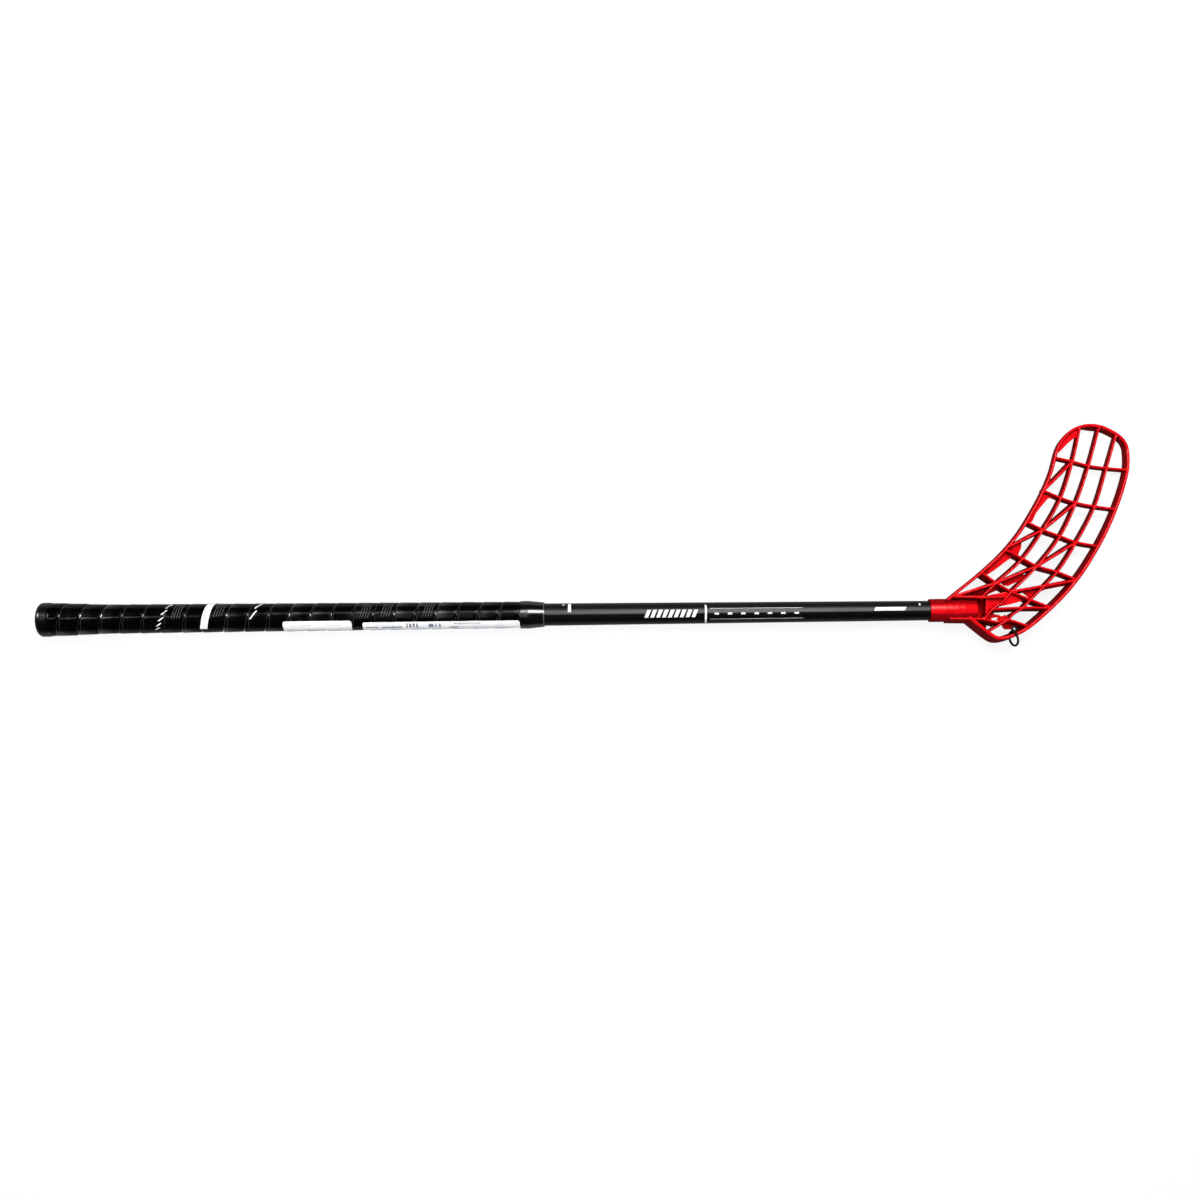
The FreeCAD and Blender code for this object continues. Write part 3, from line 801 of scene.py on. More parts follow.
@dataclass
class Shaft:
    """The tapered tube, its cap and the plain marks printed on it."""

    start: float = 5 * MM
    length: float = 952 * MM
    butt_radius: float = 13.4 * MM
    blade_radius: float = 9.9 * MM
    print_lift: float = 0.06 * MM
    patch_step: float = 4.0
    patch_turn: float = 5.0
    bars: tuple[Mark, ...] = (
        Mark(542.2, 545.3, 12.5, 68.0), Mark(536.7, 538.6, 54.0, 61.0),
        Mark(681.7, 683.7, -70.8, 48.2), Mark(854.0, 885.6, 3.3, 23.8, 1.8),
        Mark(900.3, 901.9, 33.0, 48.0), Mark(687.0, 782.0, 24.0, 26.0),
        Mark(687.0, 782.0, -36.0, -34.0),
    )
    slash_row: Mark = Mark(620.0, 674.0, -22.0, 20.0, 3.2)
    slash_count: int = 9
    slash_fill: float = 0.62
    dash_row: Mark = Mark(687.0, 782.0, -9.0, 1.0)
    dash_count: int = 7
    dash_fill: float = 0.32
    dash_offset: float = 0.34

    def radius(self, x: float) -> float:
        """Outer radius at a place along the tube."""
        share = (x - self.start) / self.length
        return self.butt_radius + (self.blade_radius - self.butt_radius) * share

    def patch(self, mark: Mark) -> Shape:
        """Printed patch bent round the tube.

        Args:
            mark: where it lies.

        Returns:
            Points and faces.
        """
        rows = max(2, math.ceil((mark.high - mark.low) / self.patch_turn))
        columns = max(1, math.ceil((mark.last - mark.first) / self.patch_step))
        points = []
        for i in range(rows + 1):
            first, last, turn = mark.row(i / rows)
            for j in range(columns + 1):
                x = first + (last - first) * j / columns
                points.append(polar(x, self.radius(x) + self.print_lift, turn))
        return points, quads(rows + 1, columns + 1)

    def build(self) -> None:
        """Dress the tube and the cap, and print the marks."""
        dressed("shaft_tube", SHAFT_LACQUER)
        dressed("butt_cap", CAP_PLASTIC)
        slashes = self.slash_row.split(self.slash_count, self.slash_fill)
        dashes = self.dash_row.split(self.dash_count, self.dash_fill, self.dash_offset)
        shape = gathered(self.patch(mark) for mark in (*self.bars, *slashes, *dashes))
        piece = linked("shaft_print", mesh_of("shaft_print", *shape))
        piece.data.materials.append(PRINT_WHITE.material())
        settled(piece, Slot.LABEL)


@dataclass
class Grip:
    """The wound tape, its stickers and the finishing band.

    The crown lists the tape's outline: shares of its width and heights in millimetres.
    """

    shaft: Shaft
    width: float = 20.9 * MM
    pitch: float = 21.3 * MM
    first_middle: float = 22.5 * MM
    first_turn: float = -0.54
    turns: float = 22
    lead: float = 0.8
    clearance: float = 0.15 * MM
    steps_per_turn: int = 48
    knob_end: float = 12 * MM
    sleeve_end: float = 38 * MM
    sleeve_first: float = 15.15 * MM
    sleeve_step: float = 0.7 * MM
    crown: tuple[Place, ...] = (
        (-0.5, 0.0), (-0.5, 1.1), (-0.497, 1.32), (-0.487, 1.52), (-0.47, 1.68), (-0.445, 1.8),
        (-0.41, 1.87), (-0.36, 1.88), (-0.28, 1.85), (-0.1, 1.76), (0.1, 1.68), (0.3, 1.6),
        (0.42, 1.54), (0.475, 1.46), (0.5, 1.34), (0.5, 0.0),
    )
    sway: float = 0.12 * MM
    sway_scale: float = 60

    def section(self) -> bpy.types.Mesh:
        """Closed outline of the strip, raised at the edge that laps the turn before.

        Returns:
            A mesh of edges.
        """
        points = [(across * self.width, up * MM, 0) for across, up in self.crown]
        count = len(points)
        edges = [(i, (i + 1) % count) for i in range(count)]
        return mesh_of("tape_section", points, edges=edges)

    def seat(self, shape: NodeShape, edge: Wire) -> Wire:
        """Inner radius of the tape from the place of its left edge.

        Args:
            shape: tree that the nodes go in.
            edge: place of the edge along the shaft.

        Returns:
            The radius as nodes.
        """
        shaft = self.shaft
        slope = (shaft.blade_radius - shaft.butt_radius) / shaft.length
        tube = shaft.butt_radius + (edge - shaft.start) * slope
        left = (1 - (edge - self.sleeve_end) / self.pitch).clamp(0, 1)
        bare = tube + left * self.sleeve_step
        last = shaft.radius(self.sleeve_end) + self.sleeve_step
        share = (edge - self.knob_end) / (self.sleeve_end - self.knob_end)
        sleeve = self.sleeve_first + (last - self.sleeve_first) * share
        on_sleeve = edge < self.sleeve_end
        return on_sleeve * sleeve + (1 - on_sleeve) * bare + shape.size("Clearance")

    def tape(self) -> bpy.types.Object:
        """Sweep the strip along its left-handed helix by Geometry Nodes.

        Returns:
            The wound tape.
        """
        turns = self.turns + self.lead
        shape = NodeShape("Wound tape", {
            "First turn": self.first_turn - self.lead, "Turns": turns, "Pitch": self.pitch,
            "First middle": self.first_middle - self.lead * self.pitch,
            "Half width": self.width / 2, "Clearance": self.clearance, "Sway": self.sway,
            "Start": self.knob_end + self.clearance})
        graph = shape.graph
        count = int(turns * self.steps_per_turn) + 1
        line = graph.node("GeometryNodeCurvePrimitiveLine")
        line = graph.node("GeometryNodeResampleCurve", None, {"Curve": line, "Count": count})
        share = graph.node("GeometryNodeSplineParameter", output="Factor")
        line = shape.store(line, "turn", shape.size("First turn") + share * shape.size("Turns"))
        outline = graph.node("GeometryNodeMeshToCurve", None, {"Mesh": shape.source})
        x, y, _ = graph.split(graph.node("GeometryNodeInputPosition"))
        outline = shape.store(shape.store(outline, "axial", x), "radial", y)
        strip = shape.swept(line, outline)
        turn, axial, radial = (shape.kept(name) for name in ("turn", "axial", "radial"))
        start, half = shape.size("Start"), shape.size("Half width")
        along = (turn - shape.size("First turn")) * shape.size("Pitch")
        middle = shape.size("First middle") + along
        radius = self.seat(shape, (middle - half).at_least(start)) + radial
        sway = graph.noise(self.sway_scale, 1, graph.vector(middle, 0, 0)) - 0.5
        x = (middle + axial + sway * shape.size("Sway") * 2).at_least(start)
        angle = turn * TURN
        strip = shape.moved(strip, graph.vector(x, radius * angle.sin(), radius * angle.cos()))
        shape.finished(shape.store(strip, "across", axial / (half * 2) + 0.5))
        return shape.mesh("grip_winding", self.section(), GRIP.material())

    def build(self) -> None:
        """Wind the tape and dress the stickers and the band."""
        settled(self.tape(), Slot.GRIP, "grip_tape")
        dressed("grip_end_band", BAND_FILM)
        dressed("grip_band_label", STRIP_LABEL)
        dressed("grip_label_short", SHORT_LABEL)
        dressed("grip_label_long", LONG_LABEL)


@dataclass
class WallLine:
    """Middle line of a wall, with its thickness and its splay at the back at each point."""

    points: list[Vector] = field(default_factory=list)
    walls: list[float] = field(default_factory=list)
    splays: list[float] = field(default_factory=list)


@dataclass
class Blade:
    """The moulded lattice: rim, ribs, knots, webs and the socket for the shaft.

    Outlines and knots are pairs of shares: of the reach from the socket's mouth, and of the
    rise from the shaft's axis. A web starts with its share of the blade's depth.
    """

    shaft: Shaft
    mouth: float = 912 * MM
    reach: float = 211 * MM
    rise: float = 192 * MM
    floor: float = -17.5 * MM
    draft: float = math.tan(math.radians(8.5))
    heel_front: float = 12 * MM
    middle_front: float = 8.5 * MM
    tip_depth: float = 8.5 * MM
    arch: float = 11 * MM
    heel_share: float = 0.063
    tip_share: float = 0.905
    tip_end_share: float = 0.947
    rim_walls: Place = (3.0 * MM, 3.9 * MM)
    rib_wall: float = 2.6 * MM
    slant_wall: float = 3.1 * MM
    flange_wall: float = 2.8 * MM
    flange_start: float = 0.4
    rim_splay: float = 2.4 * MM
    rim_splayed: tuple[int, int] = (12, 29)
    long_splay: float = 0.8 * MM
    slant_splay: float = 2.2 * MM
    end_splay: float = 0.4
    edge_round: float = 2.0 * MM
    path_step: float = 2.2 * MM
    section_points: int = 16
    flatness: float = 0.95
    knot_radius: float = 2.2 * MM
    knot_segments: int = 14
    knot_rings: int = 7
    sharp: float = math.radians(40)
    web_thickness: float = 2.5 * MM
    web_bevel: float = 0.4 * MM
    web_cuts: int = 3
    plate_level: float = -3 * MM
    plate_thickness: float = 9 * MM
    gusset_level: float = -5 * MM
    socket_length: float = 48 * MM
    socket_wall: float = 1.7 * MM
    socket_lip: float = 0.7 * MM
    socket_sides: int = 96
    bore_clearance: float = 0.1 * MM
    stop_length: float = 3 * MM
    stop_wall: float = 1.4 * MM
    bar_height: float = 0.55 * MM
    bar_rows: int = 8
    socket_bars: tuple[Mark, ...] = (
        Mark(8.0, 10.0, 26.0, 38.0, 0.4), Mark(11.0, 13.0, 26.0, 38.0, 0.4),
        Mark(14.5, 19.5, -6.0, 36.0, 3.4), Mark(21.5, 26.5, -6.0, 36.0, 3.4),
        Mark(28.5, 33.5, -6.0, 36.0, 3.4),
    )
    outline: tuple[Place, ...] = (
        (0.076, 0.052), (0.136, 0.106), (0.247, 0.203), (0.352, 0.309), (0.433, 0.415),
        (0.496, 0.523), (0.551, 0.631), (0.595, 0.740), (0.625, 0.849), (0.654, 0.908),
        (0.700, 0.960), (0.755, 0.990), (0.808, 1.000), (0.863, 0.994), (0.914, 0.971),
        (0.961, 0.939), (0.992, 0.893), (1.000, 0.831), (0.993, 0.746), (0.962, 0.635),
        (0.922, 0.525), (0.874, 0.414), (0.818, 0.306), (0.738, 0.174), (0.645, 0.054),
        (0.528, -0.065), (0.453, -0.126), (0.395, -0.155), (0.357, -0.166), (0.322, -0.167),
        (0.289, -0.150), (0.234, -0.103), (0.178, -0.051),
    )
    knots: dict[str, Place] = field(default_factory=lambda: {
        "a1": (0.619, 0.810), "b1": (0.709, 0.789), "c1": (0.789, 0.767), "d1": (0.879, 0.756),
        "e1": (0.985, 0.748), "a2": (0.558, 0.629), "b2": (0.643, 0.590), "c2": (0.718, 0.564),
        "d2": (0.811, 0.545), "e2": (0.915, 0.531), "a3": (0.469, 0.462), "b3": (0.550, 0.417),
        "c3": (0.633, 0.383), "d3": (0.713, 0.351), "e3": (0.818, 0.330), "a4": (0.362, 0.314),
        "b4": (0.447, 0.263), "c4": (0.517, 0.223), "d4": (0.614, 0.191), "e4": (0.713, 0.148),
        "a5": (0.243, 0.194), "b5": (0.317, 0.135), "c5": (0.390, 0.088), "d5": (0.482, 0.044),
        "e5": (0.585, 0.000), "c6": (0.345, 0.033), "c7": (0.297, -0.003), "c8": (0.257, -0.055),
        "d6": (0.445, 0.002), "d7": (0.396, -0.032), "d8": (0.369, -0.061),
        "d9": (0.272, -0.125), "tip_b": (0.755, 0.982), "tip_c": (0.852, 0.985),
        "tip_d": (0.936, 0.940), "rim_34": (0.381, 0.328), "flange_b": (0.246, 0.060),
        "flange_c": (0.367, 0.060), "heel_c": (0.315, -0.072), "heel_e": (0.473, -0.098),
        "socket_top": (0.110, 0.066),
    })
    cross_ribs: tuple[str, ...] = (
        "a1 b1 c1 d1 e1", "a2 b2 c2 d2 e2", "a3 b3 c3 d3 e3", "a4 b4 c4 d4 e4", "a5 b5 c5 d5 e5",
        "c7 d6 e5", "c8 heel_c d8 heel_e", "flange_b flange_c",
    )
    long_ribs: tuple[str, ...] = (
        "tip_b b1 b2 b3 b4 b5 flange_b", "tip_c c1 c2 c3 c4 c5 c6 c7 c8",
        "tip_d d1 d2 d3 d4 d5 d6 d7 d8 d9",
    )
    slant_ribs: tuple[str, ...] = (
        "b1 a2", "c2 b3", "b3 rim_34", "d3 c4", "c4 b5", "e4 c5", "b5 socket_top",
    )
    webs: tuple[tuple[float, tuple[Place, ...]], ...] = (
        (0.42, ((0.636, 0.855), (0.655, 0.908), (0.700, 0.953), (0.752, 0.982), (0.746, 0.935),
                (0.719, 0.917), (0.690, 0.892), (0.666, 0.864), (0.645, 0.842))),
        (0.42, ((0.555, 0.622), (0.524, 0.559), (0.490, 0.495), (0.478, 0.463), (0.504, 0.467),
                (0.526, 0.517), (0.559, 0.561), (0.581, 0.588), (0.595, 0.597), (0.630, 0.588),
                (0.633, 0.605))),
        (0.42, ((0.366, 0.312), (0.384, 0.334), (0.452, 0.358), (0.450, 0.330), (0.441, 0.308),
                (0.428, 0.276), (0.384, 0.302))),
        (0.42, ((0.350, 0.304), (0.362, 0.310), (0.413, 0.284), (0.386, 0.266), (0.350, 0.237),
                (0.313, 0.207), (0.284, 0.188), (0.252, 0.190))),
        (0.0, ((0.190, 0.056), (0.340, 0.056), (0.340, 0.010), (0.300, -0.060),
               (0.190, -0.060))),
        (0.3, ((0.110, 0.060), (0.315, 0.133), (0.349, 0.111), (0.322, 0.102), (0.294, 0.087),
               (0.269, 0.060))),
        (0.45, ((0.447, 0.095), (0.526, 0.103), (0.526, 0.096), (0.507, 0.070), (0.503, 0.060),
                (0.488, 0.060), (0.465, 0.081))),
        (0.4, ((0.660, 0.134), (0.665, 0.125), (0.563, 0.105), (0.527, 0.089), (0.527, 0.101),
               (0.560, 0.115))),
        (0.4, ((0.355, 0.143), (0.449, 0.188), (0.469, 0.188), (0.468, 0.168), (0.385, 0.127),
               (0.364, 0.131))),
        (0.45, ((0.274, -0.038), (0.312, -0.013), (0.318, -0.021), (0.345, -0.026),
                (0.345, -0.043), (0.330, -0.039), (0.306, -0.042), (0.305, -0.052),
                (0.277, -0.049))),
        (0.45, ((0.330, -0.051), (0.345, -0.031), (0.363, -0.032), (0.371, -0.024),
                (0.378, -0.032), (0.395, -0.034), (0.398, -0.047), (0.384, -0.057),
                (0.345, -0.061))),
        (0.1, ((0.234, -0.041), (0.336, -0.061), (0.330, -0.073), (0.312, -0.084),
               (0.311, -0.072), (0.302, -0.069), (0.293, -0.072), (0.293, -0.088),
               (0.283, -0.086), (0.260, -0.068))),
        (0.8, ((0.265, 0.069), (0.311, 0.080), (0.362, 0.090), (0.374, 0.083), (0.352, 0.053),
               (0.265, 0.054))),
    )
    plate: tuple[Place, ...] = (
        (0.272, 0.060), (0.382, 0.090), (0.437, 0.070), (0.448, 0.048), (0.389, 0.031),
        (0.337, 0.020), (0.268, -0.036),
    )
    gusset: tuple[Place, ...] = (
        (0.362, -0.062), (0.376, -0.066), (0.422, -0.080), (0.427, -0.089), (0.403, -0.102),
        (0.372, -0.102), (0.360, -0.086),
    )

    def __post_init__(self) -> None:
        """Work out the arcs of the back and the front along the blade's curve."""
        span = (self.reach + self.rise) * math.sqrt(0.5)
        heel, tip, end = (
            span * share for share in (self.heel_share, self.tip_share, self.tip_end_share))
        self.back = Arc.through(
            (heel, self.floor), ((heel + tip) / 2, self.floor + self.arch), (tip, self.floor))
        self.front = Arc.through(
            (heel, self.heel_front), ((heel + end) / 2, self.middle_front),
            (end, self.floor + self.tip_depth))

    def point(self, share: Place) -> Vector:
        """Place of a pair of shares at the shaft's height."""
        return Vector((self.mouth + share[0] * self.reach, share[1] * self.rise, 0))

    def chain(self, names: str) -> list[Vector]:
        """Places of the named knots."""
        return [self.point(self.knots[name]) for name in names.split()]

    def along(self, x: Any, y: Any) -> Any:
        """Place along the line that the blade curves along."""
        return (x - self.mouth + y) * math.sqrt(0.5)

    def between(self, along: float, share: float) -> float:
        """Height at a share of the way from the back to the front."""
        back = self.back.height(along)
        return back + (self.front.height(along) - back) * share

    def leaning(self, x: float, y: float, rule: Callable[[float], float]) -> Spot:
        """Move a point to its height and by the mould's draft.

        Args:
            x: place along the shaft.
            y: place across it, before the draft.
            rule: height at a place along the blade.

        Returns:
            The point's place.
        """
        z = rule(self.along(x, y))
        z = rule(self.along(x, y + z * self.draft))
        return x, y + z * self.draft, z

    def ribs(self) -> list[WallLine]:
        """Lay out the ribs and the flanges beside the socket.

        Returns:
            Their middle lines.
        """
        lines = []
        for chains, wall, splay in (
                (self.cross_ribs, self.rib_wall, 0.0),
                (self.long_ribs, self.rib_wall, self.long_splay),
                (self.slant_ribs, self.slant_wall, self.slant_splay)):
            lines += [(self.chain(names), wall, splay) for names in chains]
        low = self.point((self.flange_start * self.socket_length / self.reach, self.outline[-1][1]))
        lines.append(([low, *self.chain("c8")], self.flange_wall, 0.0))
        lines.append((self.chain("socket_top flange_b"), self.flange_wall, 0.0))
        made = []
        for points, wall, splay in lines:
            splays = [splay] * (len(points) - 1) + [splay * self.end_splay]
            made.append(WallLine(points, [wall] * len(points), splays))
        return made

    def rim(self) -> WallLine:
        """Lay out the rim, set inwards from the outline by half its wall.

        Returns:
            Its middle line.
        """
        line, edge = WallLine(), [self.point(share) for share in self.outline]
        last = len(edge) - 1
        thin, thick = self.rim_walls
        for i, place in enumerate(edge):
            way = edge[min(i + 1, last)] - edge[max(i - 1, 0)]
            wall = thin + (thick - thin) * i / last
            line.points.append(place + Vector((way.y, -way.x, 0)).normalized() * wall / 2)
            line.walls.append(wall)
            splayed = self.rim_splayed[0] <= i <= self.rim_splayed[1]
            line.splays.append(self.rim_splay if splayed else 0.0)
        return line

    def paths(self) -> bpy.types.Mesh:
        """Gather the middle lines of all walls.

        Returns:
            A mesh of edges that keeps each point's wall and splay.
        """
        whole, edges = WallLine(), []
        for line in (*self.ribs(), self.rim()):
            start = len(whole.points)
            edges += [(start + i, start + i + 1) for i in range(len(line.points) - 1)]
            whole.points += line.points
            whole.walls += line.walls
            whole.splays += line.splays
        made = mesh_of("wall_paths", whole.points, edges=edges)
        for name, values in (("wall", whole.walls), ("splay", whole.splays)):
            made.attributes.new(name, Kind.NUMBER.value, "POINT").data.foreach_set("value", values)
        return made

    def risen(self, shape: NodeShape, x: Wire, y: Wire, up: Wire) -> Wire:
        """Place of a wall's point from its plan and its share of the height.

        Args:
            shape: tree that the nodes go in.
            x: place along the shaft.
            y: place across it, before the draft.
            up: 1 at the front's edge, -1 at the back's and 0 where the rounding starts.

        Returns:
            The place as nodes.
        """
        draft, rounding = shape.size("Draft"), shape.size("Rounding")

        def height(rule: Arc) -> Wire:
            """Height of the back or the front at the leaning point."""
            first = rule.wire(self.along(x, y))
            return rule.wire(self.along(x, y + first * draft))

        on_front = up > 0
        front = height(self.front) - rounding * (1 - up)
        back = height(self.back) + rounding * (1 + up)
        z = on_front * front + (1 - on_front) * back
        return shape.graph.vector(x, y + z * draft, z)

    def walls(self, skin: bpy.types.Material) -> bpy.types.Object:
        """Raise the rim and the ribs as rounded walls by Geometry Nodes.

        Args:
            skin: their material.

        Returns:
            All walls as one object.
        """
        shape = NodeShape("Blade walls", {
            "Step": self.path_step, "Draft": self.draft, "Rounding": self.edge_round,
            "Flatness": self.flatness})
        graph = shape.graph
        path = graph.node("GeometryNodeMeshToCurve", None, {"Mesh": shape.source})
        path = graph.node(
            "GeometryNodeCurveSplineType", {"spline_type": "CATMULL_ROM"}, {"Curve": path})
        path = graph.node("GeometryNodeResampleCurve", {"mode": "LENGTH"}, {
            "Curve": path, "Length": shape.size("Step")})
        for name, source in (("middle", "Position"), ("way", "Tangent")):
            value = graph.node(f"GeometryNodeInput{source}")
            path = shape.store(path, name, value, Kind.VECTOR)
        outline = graph.node(
            "GeometryNodeCurvePrimitiveCircle", None, {"Resolution": self.section_points})
        angle = (graph.node("GeometryNodeInputIndex") + 0.5) * (TURN / self.section_points)
        for name, share in (("across", angle.cos()), ("up", angle.sin())):
            sign = (share > 0) * 2 - 1
            outline = shape.store(outline, name, sign * abs(share) ** shape.size("Flatness"))
        wall = shape.swept(path, outline)
        middle, way = (graph.split(shape.kept(name, Kind.VECTOR)) for name in ("middle", "way"))
        across, up = shape.kept("across"), shape.kept("up")
        splay = shape.kept("splay") * across.clamp(0, 1) * (up < 0)
        half = shape.kept("wall") * across / 2 + splay
        place = self.risen(shape, middle[0] + way[1] * half, middle[1] - way[0] * half, up)
        shape.finished(shape.moved(wall, place))
        return shape.mesh("blade_walls", self.paths(), skin)

    def posts(self, skin: bpy.types.Material) -> bpy.types.Object:
        """Set rounded posts where ribs cross, instanced by Geometry Nodes.

        Args:
            skin: their material.

        Returns:
            All posts as one object.
        """
        names = " ".join(self.cross_ribs + self.long_ribs + self.slant_ribs).split()
        crossings = [n for n in self.knots if names.count(n) > 1 and n[0] not in "ae"]
        shape = NodeShape("Blade knots", {
            "Radius": self.knot_radius, "Draft": self.draft, "Rounding": self.edge_round})
        graph, radius = shape.graph, shape.size("Radius")
        ball = graph.node("GeometryNodeMeshUVSphere", None, {
            "Segments": self.knot_segments, "Rings": self.knot_rings, "Radius": 1.0})
        x, y, z = graph.split(graph.node("GeometryNodeInputPosition"))
        ball = shape.store(ball, "up", z)
        ball = shape.moved(ball, graph.vector(x * radius, y * radius, 0))
        spots = graph.node("GeometryNodeMeshToPoints", None, {"Mesh": shape.source})
        made = graph.node("GeometryNodeInstanceOnPoints", None, {"Points": spots, "Instance": ball})
        x, y, _ = graph.split(graph.node("GeometryNodeInputPosition"))
        place = self.risen(shape, x, y, shape.kept("up"))
        shape.finished(shape.moved(shape.realized(made), place))
        seed = mesh_of("knot_places", self.chain(" ".join(crossings)))
        return shape.mesh("blade_knots", seed, skin)

    def sheet(self, name: str, table: Sequence[Place], rule: Callable[[float], float],
              skin: bpy.types.Material, thickness: float) -> bpy.types.Object:
        """Make a thin web or plate with soft edges.

        Args:
            name: the object's name.
            table: corners as shares.
            rule: height of its underside along the blade.
            skin: its material.
            thickness: height of its wall.

        Returns:
            The finished object.
        """
        work = bmesh.new()
        work.faces.new([work.verts.new(self.point(share)) for share in table])
        bmesh.ops.triangulate(work, faces=work.faces)
        bmesh.ops.subdivide_edges(
            work, edges=work.edges, cuts=self.web_cuts, use_grid_fill=True)
        for vert in work.verts:
            vert.co = self.leaning(vert.co.x, vert.co.y, rule)
        bmesh.ops.recalc_face_normals(work, faces=work.faces)
        if sum(face.normal.z for face in work.faces) > 0:
            bmesh.ops.reverse_faces(work, faces=work.faces)
        mesh = bpy.data.meshes.new(name)
        work.to_mesh(mesh)
        work.free()
        mesh.materials.append(skin)
        piece = linked(name, mesh)
        thick = piece.modifiers.new("thickness", "SOLIDIFY")
        thick.thickness, thick.offset = thickness, -1
        soft = piece.modifiers.new("edges", "BEVEL")
        soft.width, soft.segments, soft.limit_method = self.web_bevel, 2, "ANGLE"
        frozen(piece).set_sharp_from_angle(angle=self.sharp)
        return piece

    def raised(self, outer: float, bar: Mark) -> Shape:
        """Bar that stands proud of the socket.

        Args:
            outer: the socket's outer radius.
            bar: where it lies, along from the mouth.

        Returns:
            Points and faces.
        """
        points, top = [], self.bar_height
        for i in range(self.bar_rows + 1):
            first, last, turn = bar.row(i / self.bar_rows)
            inset = top if 0 < i < self.bar_rows else top / 2
            for x, lift in (
                    (first, -inset), (first + inset, top), (last - inset, top), (last, -inset)):
                points.append(polar(self.mouth + x, outer + lift, turn))
        ends = [(0, 3, 2, 1), tuple(range(len(points) - 4, len(points)))]
        return points, quads(self.bar_rows + 1, 4, ring=True) + ends

    def socket(self, skin: bpy.types.Material) -> bpy.types.Object:
        """Make the tube with a rolled mouth, the stop at its inner end and its raised bars.

        Args:
            skin: its material.

        Returns:
            The socket.
        """
        first, last = self.mouth, self.mouth + self.socket_length
        bore = self.shaft.radius(first) + self.bore_clearance
        outer = bore + self.socket_wall
        stop, stop_face = self.shaft.radius(last) - self.stop_wall, last - self.stop_length
        lip, bend = self.socket_lip, self.socket_lip / 4
        outline = (
            (stop_face, bore), (first + lip, bore), (first + bend, bore + bend),
            (first, bore + lip), (first, outer - lip), (first + bend, outer - bend),
            (first + lip, outer), (last - lip, outer), (last - bend, outer - bend),
            (last, outer - lip), (last, stop), (stop_face, stop))
        turns = [TURN * i / self.socket_sides for i in range(self.socket_sides)]
        points = [polar(x, radius, turn) for turn in turns for x, radius in outline]
        tube = points, quads(len(turns), len(outline), ring=True, loop=True)
        shape = gathered([tube, *(self.raised(outer, bar) for bar in self.socket_bars)])
        mesh = tidied(mesh_of("blade_socket", *shape))
        mesh.set_sharp_from_angle(angle=self.sharp)
        mesh.materials.append(skin)
        return linked("blade_socket", mesh)

    def build(self) -> None:
        """Make the lattice and the socket as one piece, and dress the screw."""
        skin, thin = RED.material(), self.web_thickness
        parts = [self.walls(skin), self.posts(skin), self.socket(SOCKET_RED.material())]
        for lift, table in self.webs:
            rule = partial(self.between, share=lift)
            parts.append(self.sheet("blade_web", table, rule, skin, thin))
        parts.append(self.sheet(
            "blade_plate", self.plate, lambda along: self.plate_level, skin, self.plate_thickness))
        parts.append(self.sheet(
            "blade_gusset", self.gusset, lambda along: self.gusset_level, skin, thin))
        settled(joined("blade_lattice", parts), Slot.BLADE, "blade")
        dressed("blade_screw", STEEL)


@dataclass
class TagLoop:
    """The thin cord looped round the rim at the heel, and its ring.

    The route is in millimetres: along from the socket's mouth, across and up.
    """

    mouth: float = 912 * MM
    diameter: float = 2.4 * MM
    length: float = 77 * MM
    steps: int = 8
    sides: int = 4
    route: tuple[Spot, ...] = (
        (82.8, -20.6, 14.0), (83.2, -21.2, 10.5), (84.4, -21.8, 5.0), (85.6, -22.4, -1.0),
        (86.4, -22.8, -7.2), (86.8, -23.6, -12.8), (86.9, -26.8, -16.2), (87.3, -31.6, -16.2),
        (88.0, -34.8, -12.9), (88.6, -36.7, -8.2), (88.9, -37.1, -2.6), (88.9, -36.2, 3.6),
        (88.5, -33.8, 9.8), (87.5, -30.4, 14.3), (86.1, -26.8, 15.7), (84.8, -23.0, 14.4),
    )

    def build(self) -> None:
        ring = dressed("tag_ring", RING_PLASTIC)
        line = bpy.data.curves.new("tag_loop", "CURVE")
        line.dimensions, line.resolution_u = "3D", self.steps
        line.bevel_depth, line.bevel_resolution = self.diameter / 2, self.sides
        line.use_fill_caps = True
        spline = line.splines.new("NURBS")
        spline.points.add(len(self.route) - 1)
        places = [Vector((self.mouth + x * MM, y * MM, z * MM)) for x, y, z in self.route]
        for point, place in zip(spline.points, places):
            point.co = (*place, 1)
        spline.order_u = 3
        spline.use_endpoint_u = True
        line.materials.append(BRAID.material())
        piece = linked("tag_loop", line)
        settled(piece, Slot.CORD, "tag_cord")


@dataclass
class Lamp:
    """One soft box of light."""

    name: str
    place: Spot
    target: Spot
    size: Place
    power: float
    mirrored: bool = True
    spread: float = 180.0
    lights: bool = True

    def build(self) -> None:
        """Add the lamp and aim it."""
        data = bpy.data.lights.new(self.name, "AREA")
        data.shape, data.energy = "RECTANGLE", self.power
        data.size, data.size_y = self.size
        data.spread = math.radians(self.spread)
        lamp = linked(self.name, data)
        lamp.location = self.place
        lamp.visible_glossy, lamp.visible_diffuse = self.mirrored, self.lights
        way = Vector(self.target) - Vector(self.place)
        lamp.rotation_euler = way.to_track_quat("-Z", "Y").to_euler()


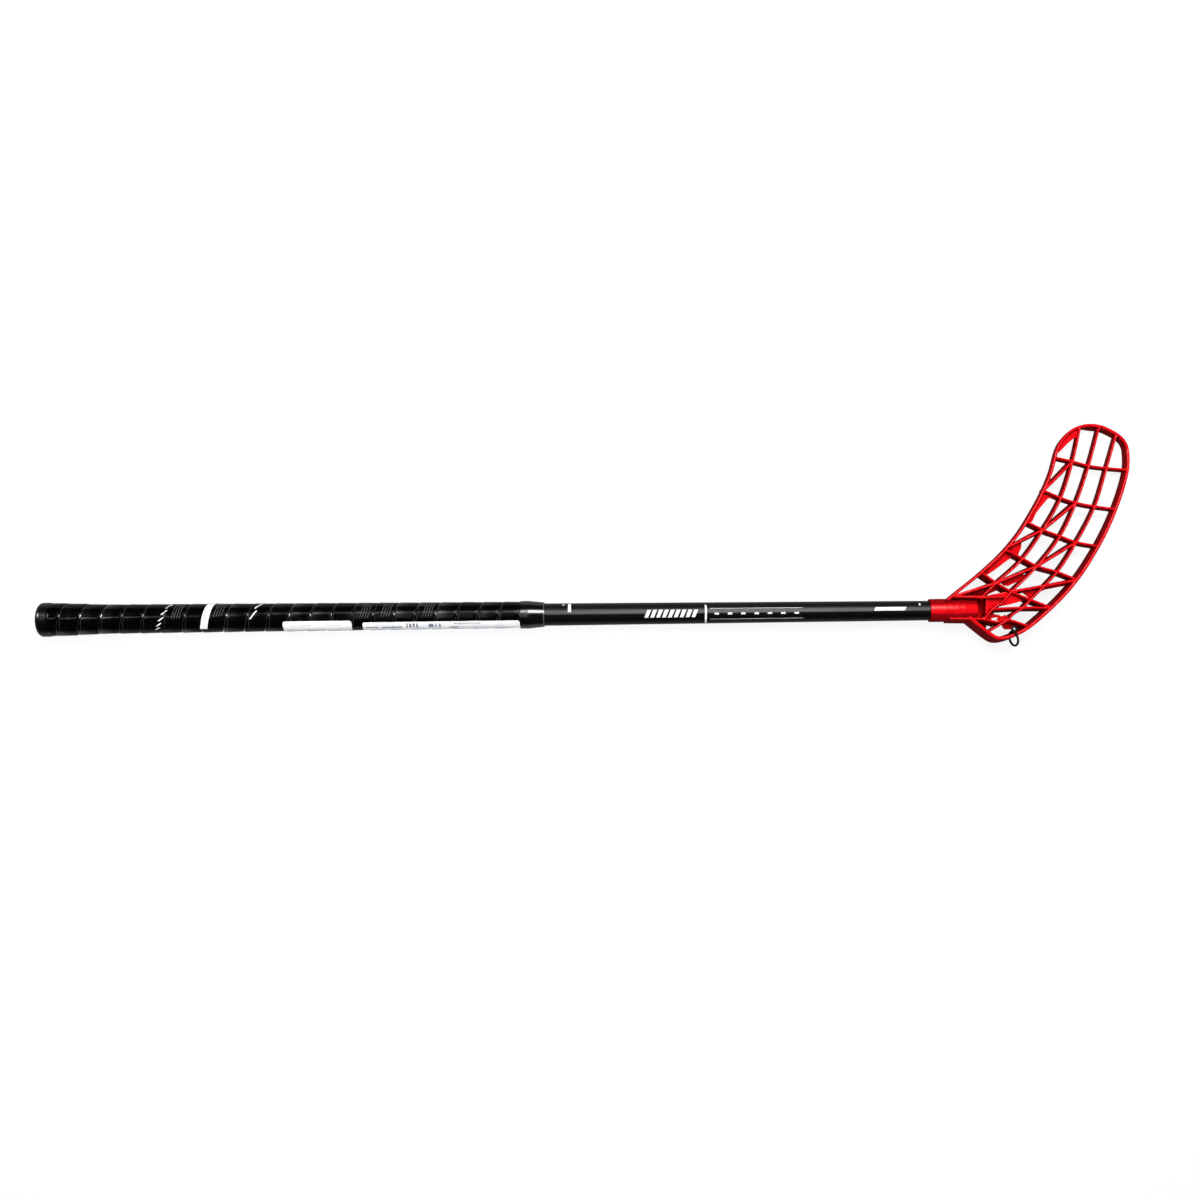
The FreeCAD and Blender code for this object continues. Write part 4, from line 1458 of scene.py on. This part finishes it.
@dataclass
class Studio:
    """White floor, soft lamps and the camera straight above the stick."""

    floor_level: float = -17.5 * MM
    floor_half: float = 30.0
    camera_place: Spot = (0.575, 0.01436, 1.51)
    camera_turn: float = math.radians(-0.598)
    focal_pixels: float = 1472.0
    image_pixels: float = 1200.0
    sensor: float = 36.0
    fill: float = 0.33
    horizon: float = 0.2
    sky_gloss: float = 0.02
    floor_gloss: float = 0.12
    paper: float = 0.15
    glow: float = 0.87
    bounce: float = 0.25
    lamps: tuple[Lamp, ...] = (
        Lamp("top", (-0.1, -0.5, 1.9), (0.25, 0.0, 0.0), (1.0, 0.6), 1.8, False, 45),
        Lamp("key", (1.0, 1.0, 1.85), (0.95, 0.0, 0.0), (1.0, 0.9), 43),
        Lamp("sheen", (0.45, 1.15, 1.85), (0.45, 0.0, 0.0), (1.2, 0.5), 7.5),
        Lamp("strip", (-0.45, 0.42, 1.9), (0.0, 0.0, 0.0), (0.6, 0.08), 1.6),
        Lamp("patch", (0.27, 0.2, 1.9), (0.27, 0.0, 0.0), (0.3, 1.6), 2, lights=False),
        Lamp("glint", (-1.2, 0.9, 1.3), (0.2, 0.0, 0.0), (0.4, 0.4), 50, lights=False),
    )

    def camera(self) -> None:
        """Add the camera, which looks straight down, turned a little about its axis."""
        data = bpy.data.cameras.new("camera")
        data.sensor_width = self.sensor
        data.lens = self.focal_pixels * self.sensor / self.image_pixels
        made = linked("camera", data)
        made.location = self.camera_place
        made.rotation_euler = (0, 0, self.camera_turn)
        bpy.context.scene.camera = made

    def floor(self) -> None:
        """Add a plain floor that is white to the camera and keeps the shadow."""
        h, z = self.floor_half, self.floor_level
        corners = [(-h, -h, z), (h, -h, z), (h, h, z), (-h, h, z)]
        piece = linked("floor", mesh_of("floor", corners, [(0, 1, 2, 3)]))
        made = bpy.data.materials.new("studio_floor")
        made.use_nodes = True
        made.node_tree.nodes.clear()
        graph = Graph(made.node_tree)
        paper, dull = (
            graph.node("ShaderNodeBsdfDiffuse", None, {"Color": grey(tone)})
            for tone in (self.paper, self.bounce))
        glow = graph.node("ShaderNodeEmission", None, {"Color": WHITE, "Strength": self.glow})
        bright = graph.node("ShaderNodeAddShader", None, {0: paper, 1: glow})
        seen = self.seen(graph, self.floor_gloss)
        mixed = graph.node("ShaderNodeMixShader", None, {0: seen, 1: dull, 2: bright})
        end = made.node_tree.nodes.new("ShaderNodeOutputMaterial")
        graph.feed(end.inputs["Surface"], mixed)
        piece.data.materials.append(made)

    @staticmethod
    def seen(graph: Graph, share: float) -> Wire:
        """How far a ray sees the white studio.

        Args:
            graph: the material's or the world's graph.
            share: strength in reflections.

        Returns:
            1 for rays of the camera and of transmission, and the share for reflections.
        """
        camera, gloss, through = (
            graph.node("ShaderNodeLightPath", output=f"Is {kind} Ray")
            for kind in ("Camera", "Glossy", "Transmission"))
        return (camera + gloss * share + through).clamp(0, 1)

    def world(self) -> None:
        """Add a sky that is brightest overhead, and white to the camera."""
        made = bpy.data.worlds.new("studio")
        made.use_nodes = True
        graph = Graph(made.node_tree)
        up = graph.split(graph.node("ShaderNodeTexCoord", output="Generated"))[2].clamp(0, 1)
        sky = (self.horizon + up * (1 - self.horizon)) * self.fill
        seen = self.seen(graph, self.sky_gloss)
        gloss = graph.node("ShaderNodeLightPath", output="Is Glossy Ray")
        background = made.node_tree.nodes["Background"]
        graph.feed(background.inputs["Strength"], seen + (1 - seen) * (1 - gloss) * sky)
        graph.feed(background.inputs["Color"], WHITE)
        bpy.context.scene.world = made

    def build(self) -> None:
        """Set up everything around the stick."""
        bpy.context.scene.view_settings.view_transform = "Standard"
        self.camera()
        self.floor()
        self.world()
        for lamp in self.lamps:
            lamp.build()
        LOG.info("studio with %d lamps", len(self.lamps))


def main() -> None:
    """Build the studio and every piece in order."""
    logging.basicConfig(level=logging.INFO, stream=sys.stdout, format="%(name)s: %(message)s")
    Studio().build()
    TagLoop().build()
    shaft = Shaft()
    for part in (shaft, Grip(shaft), Blade(shaft)):
        part.build()


if __name__ == "__main__":
    main()
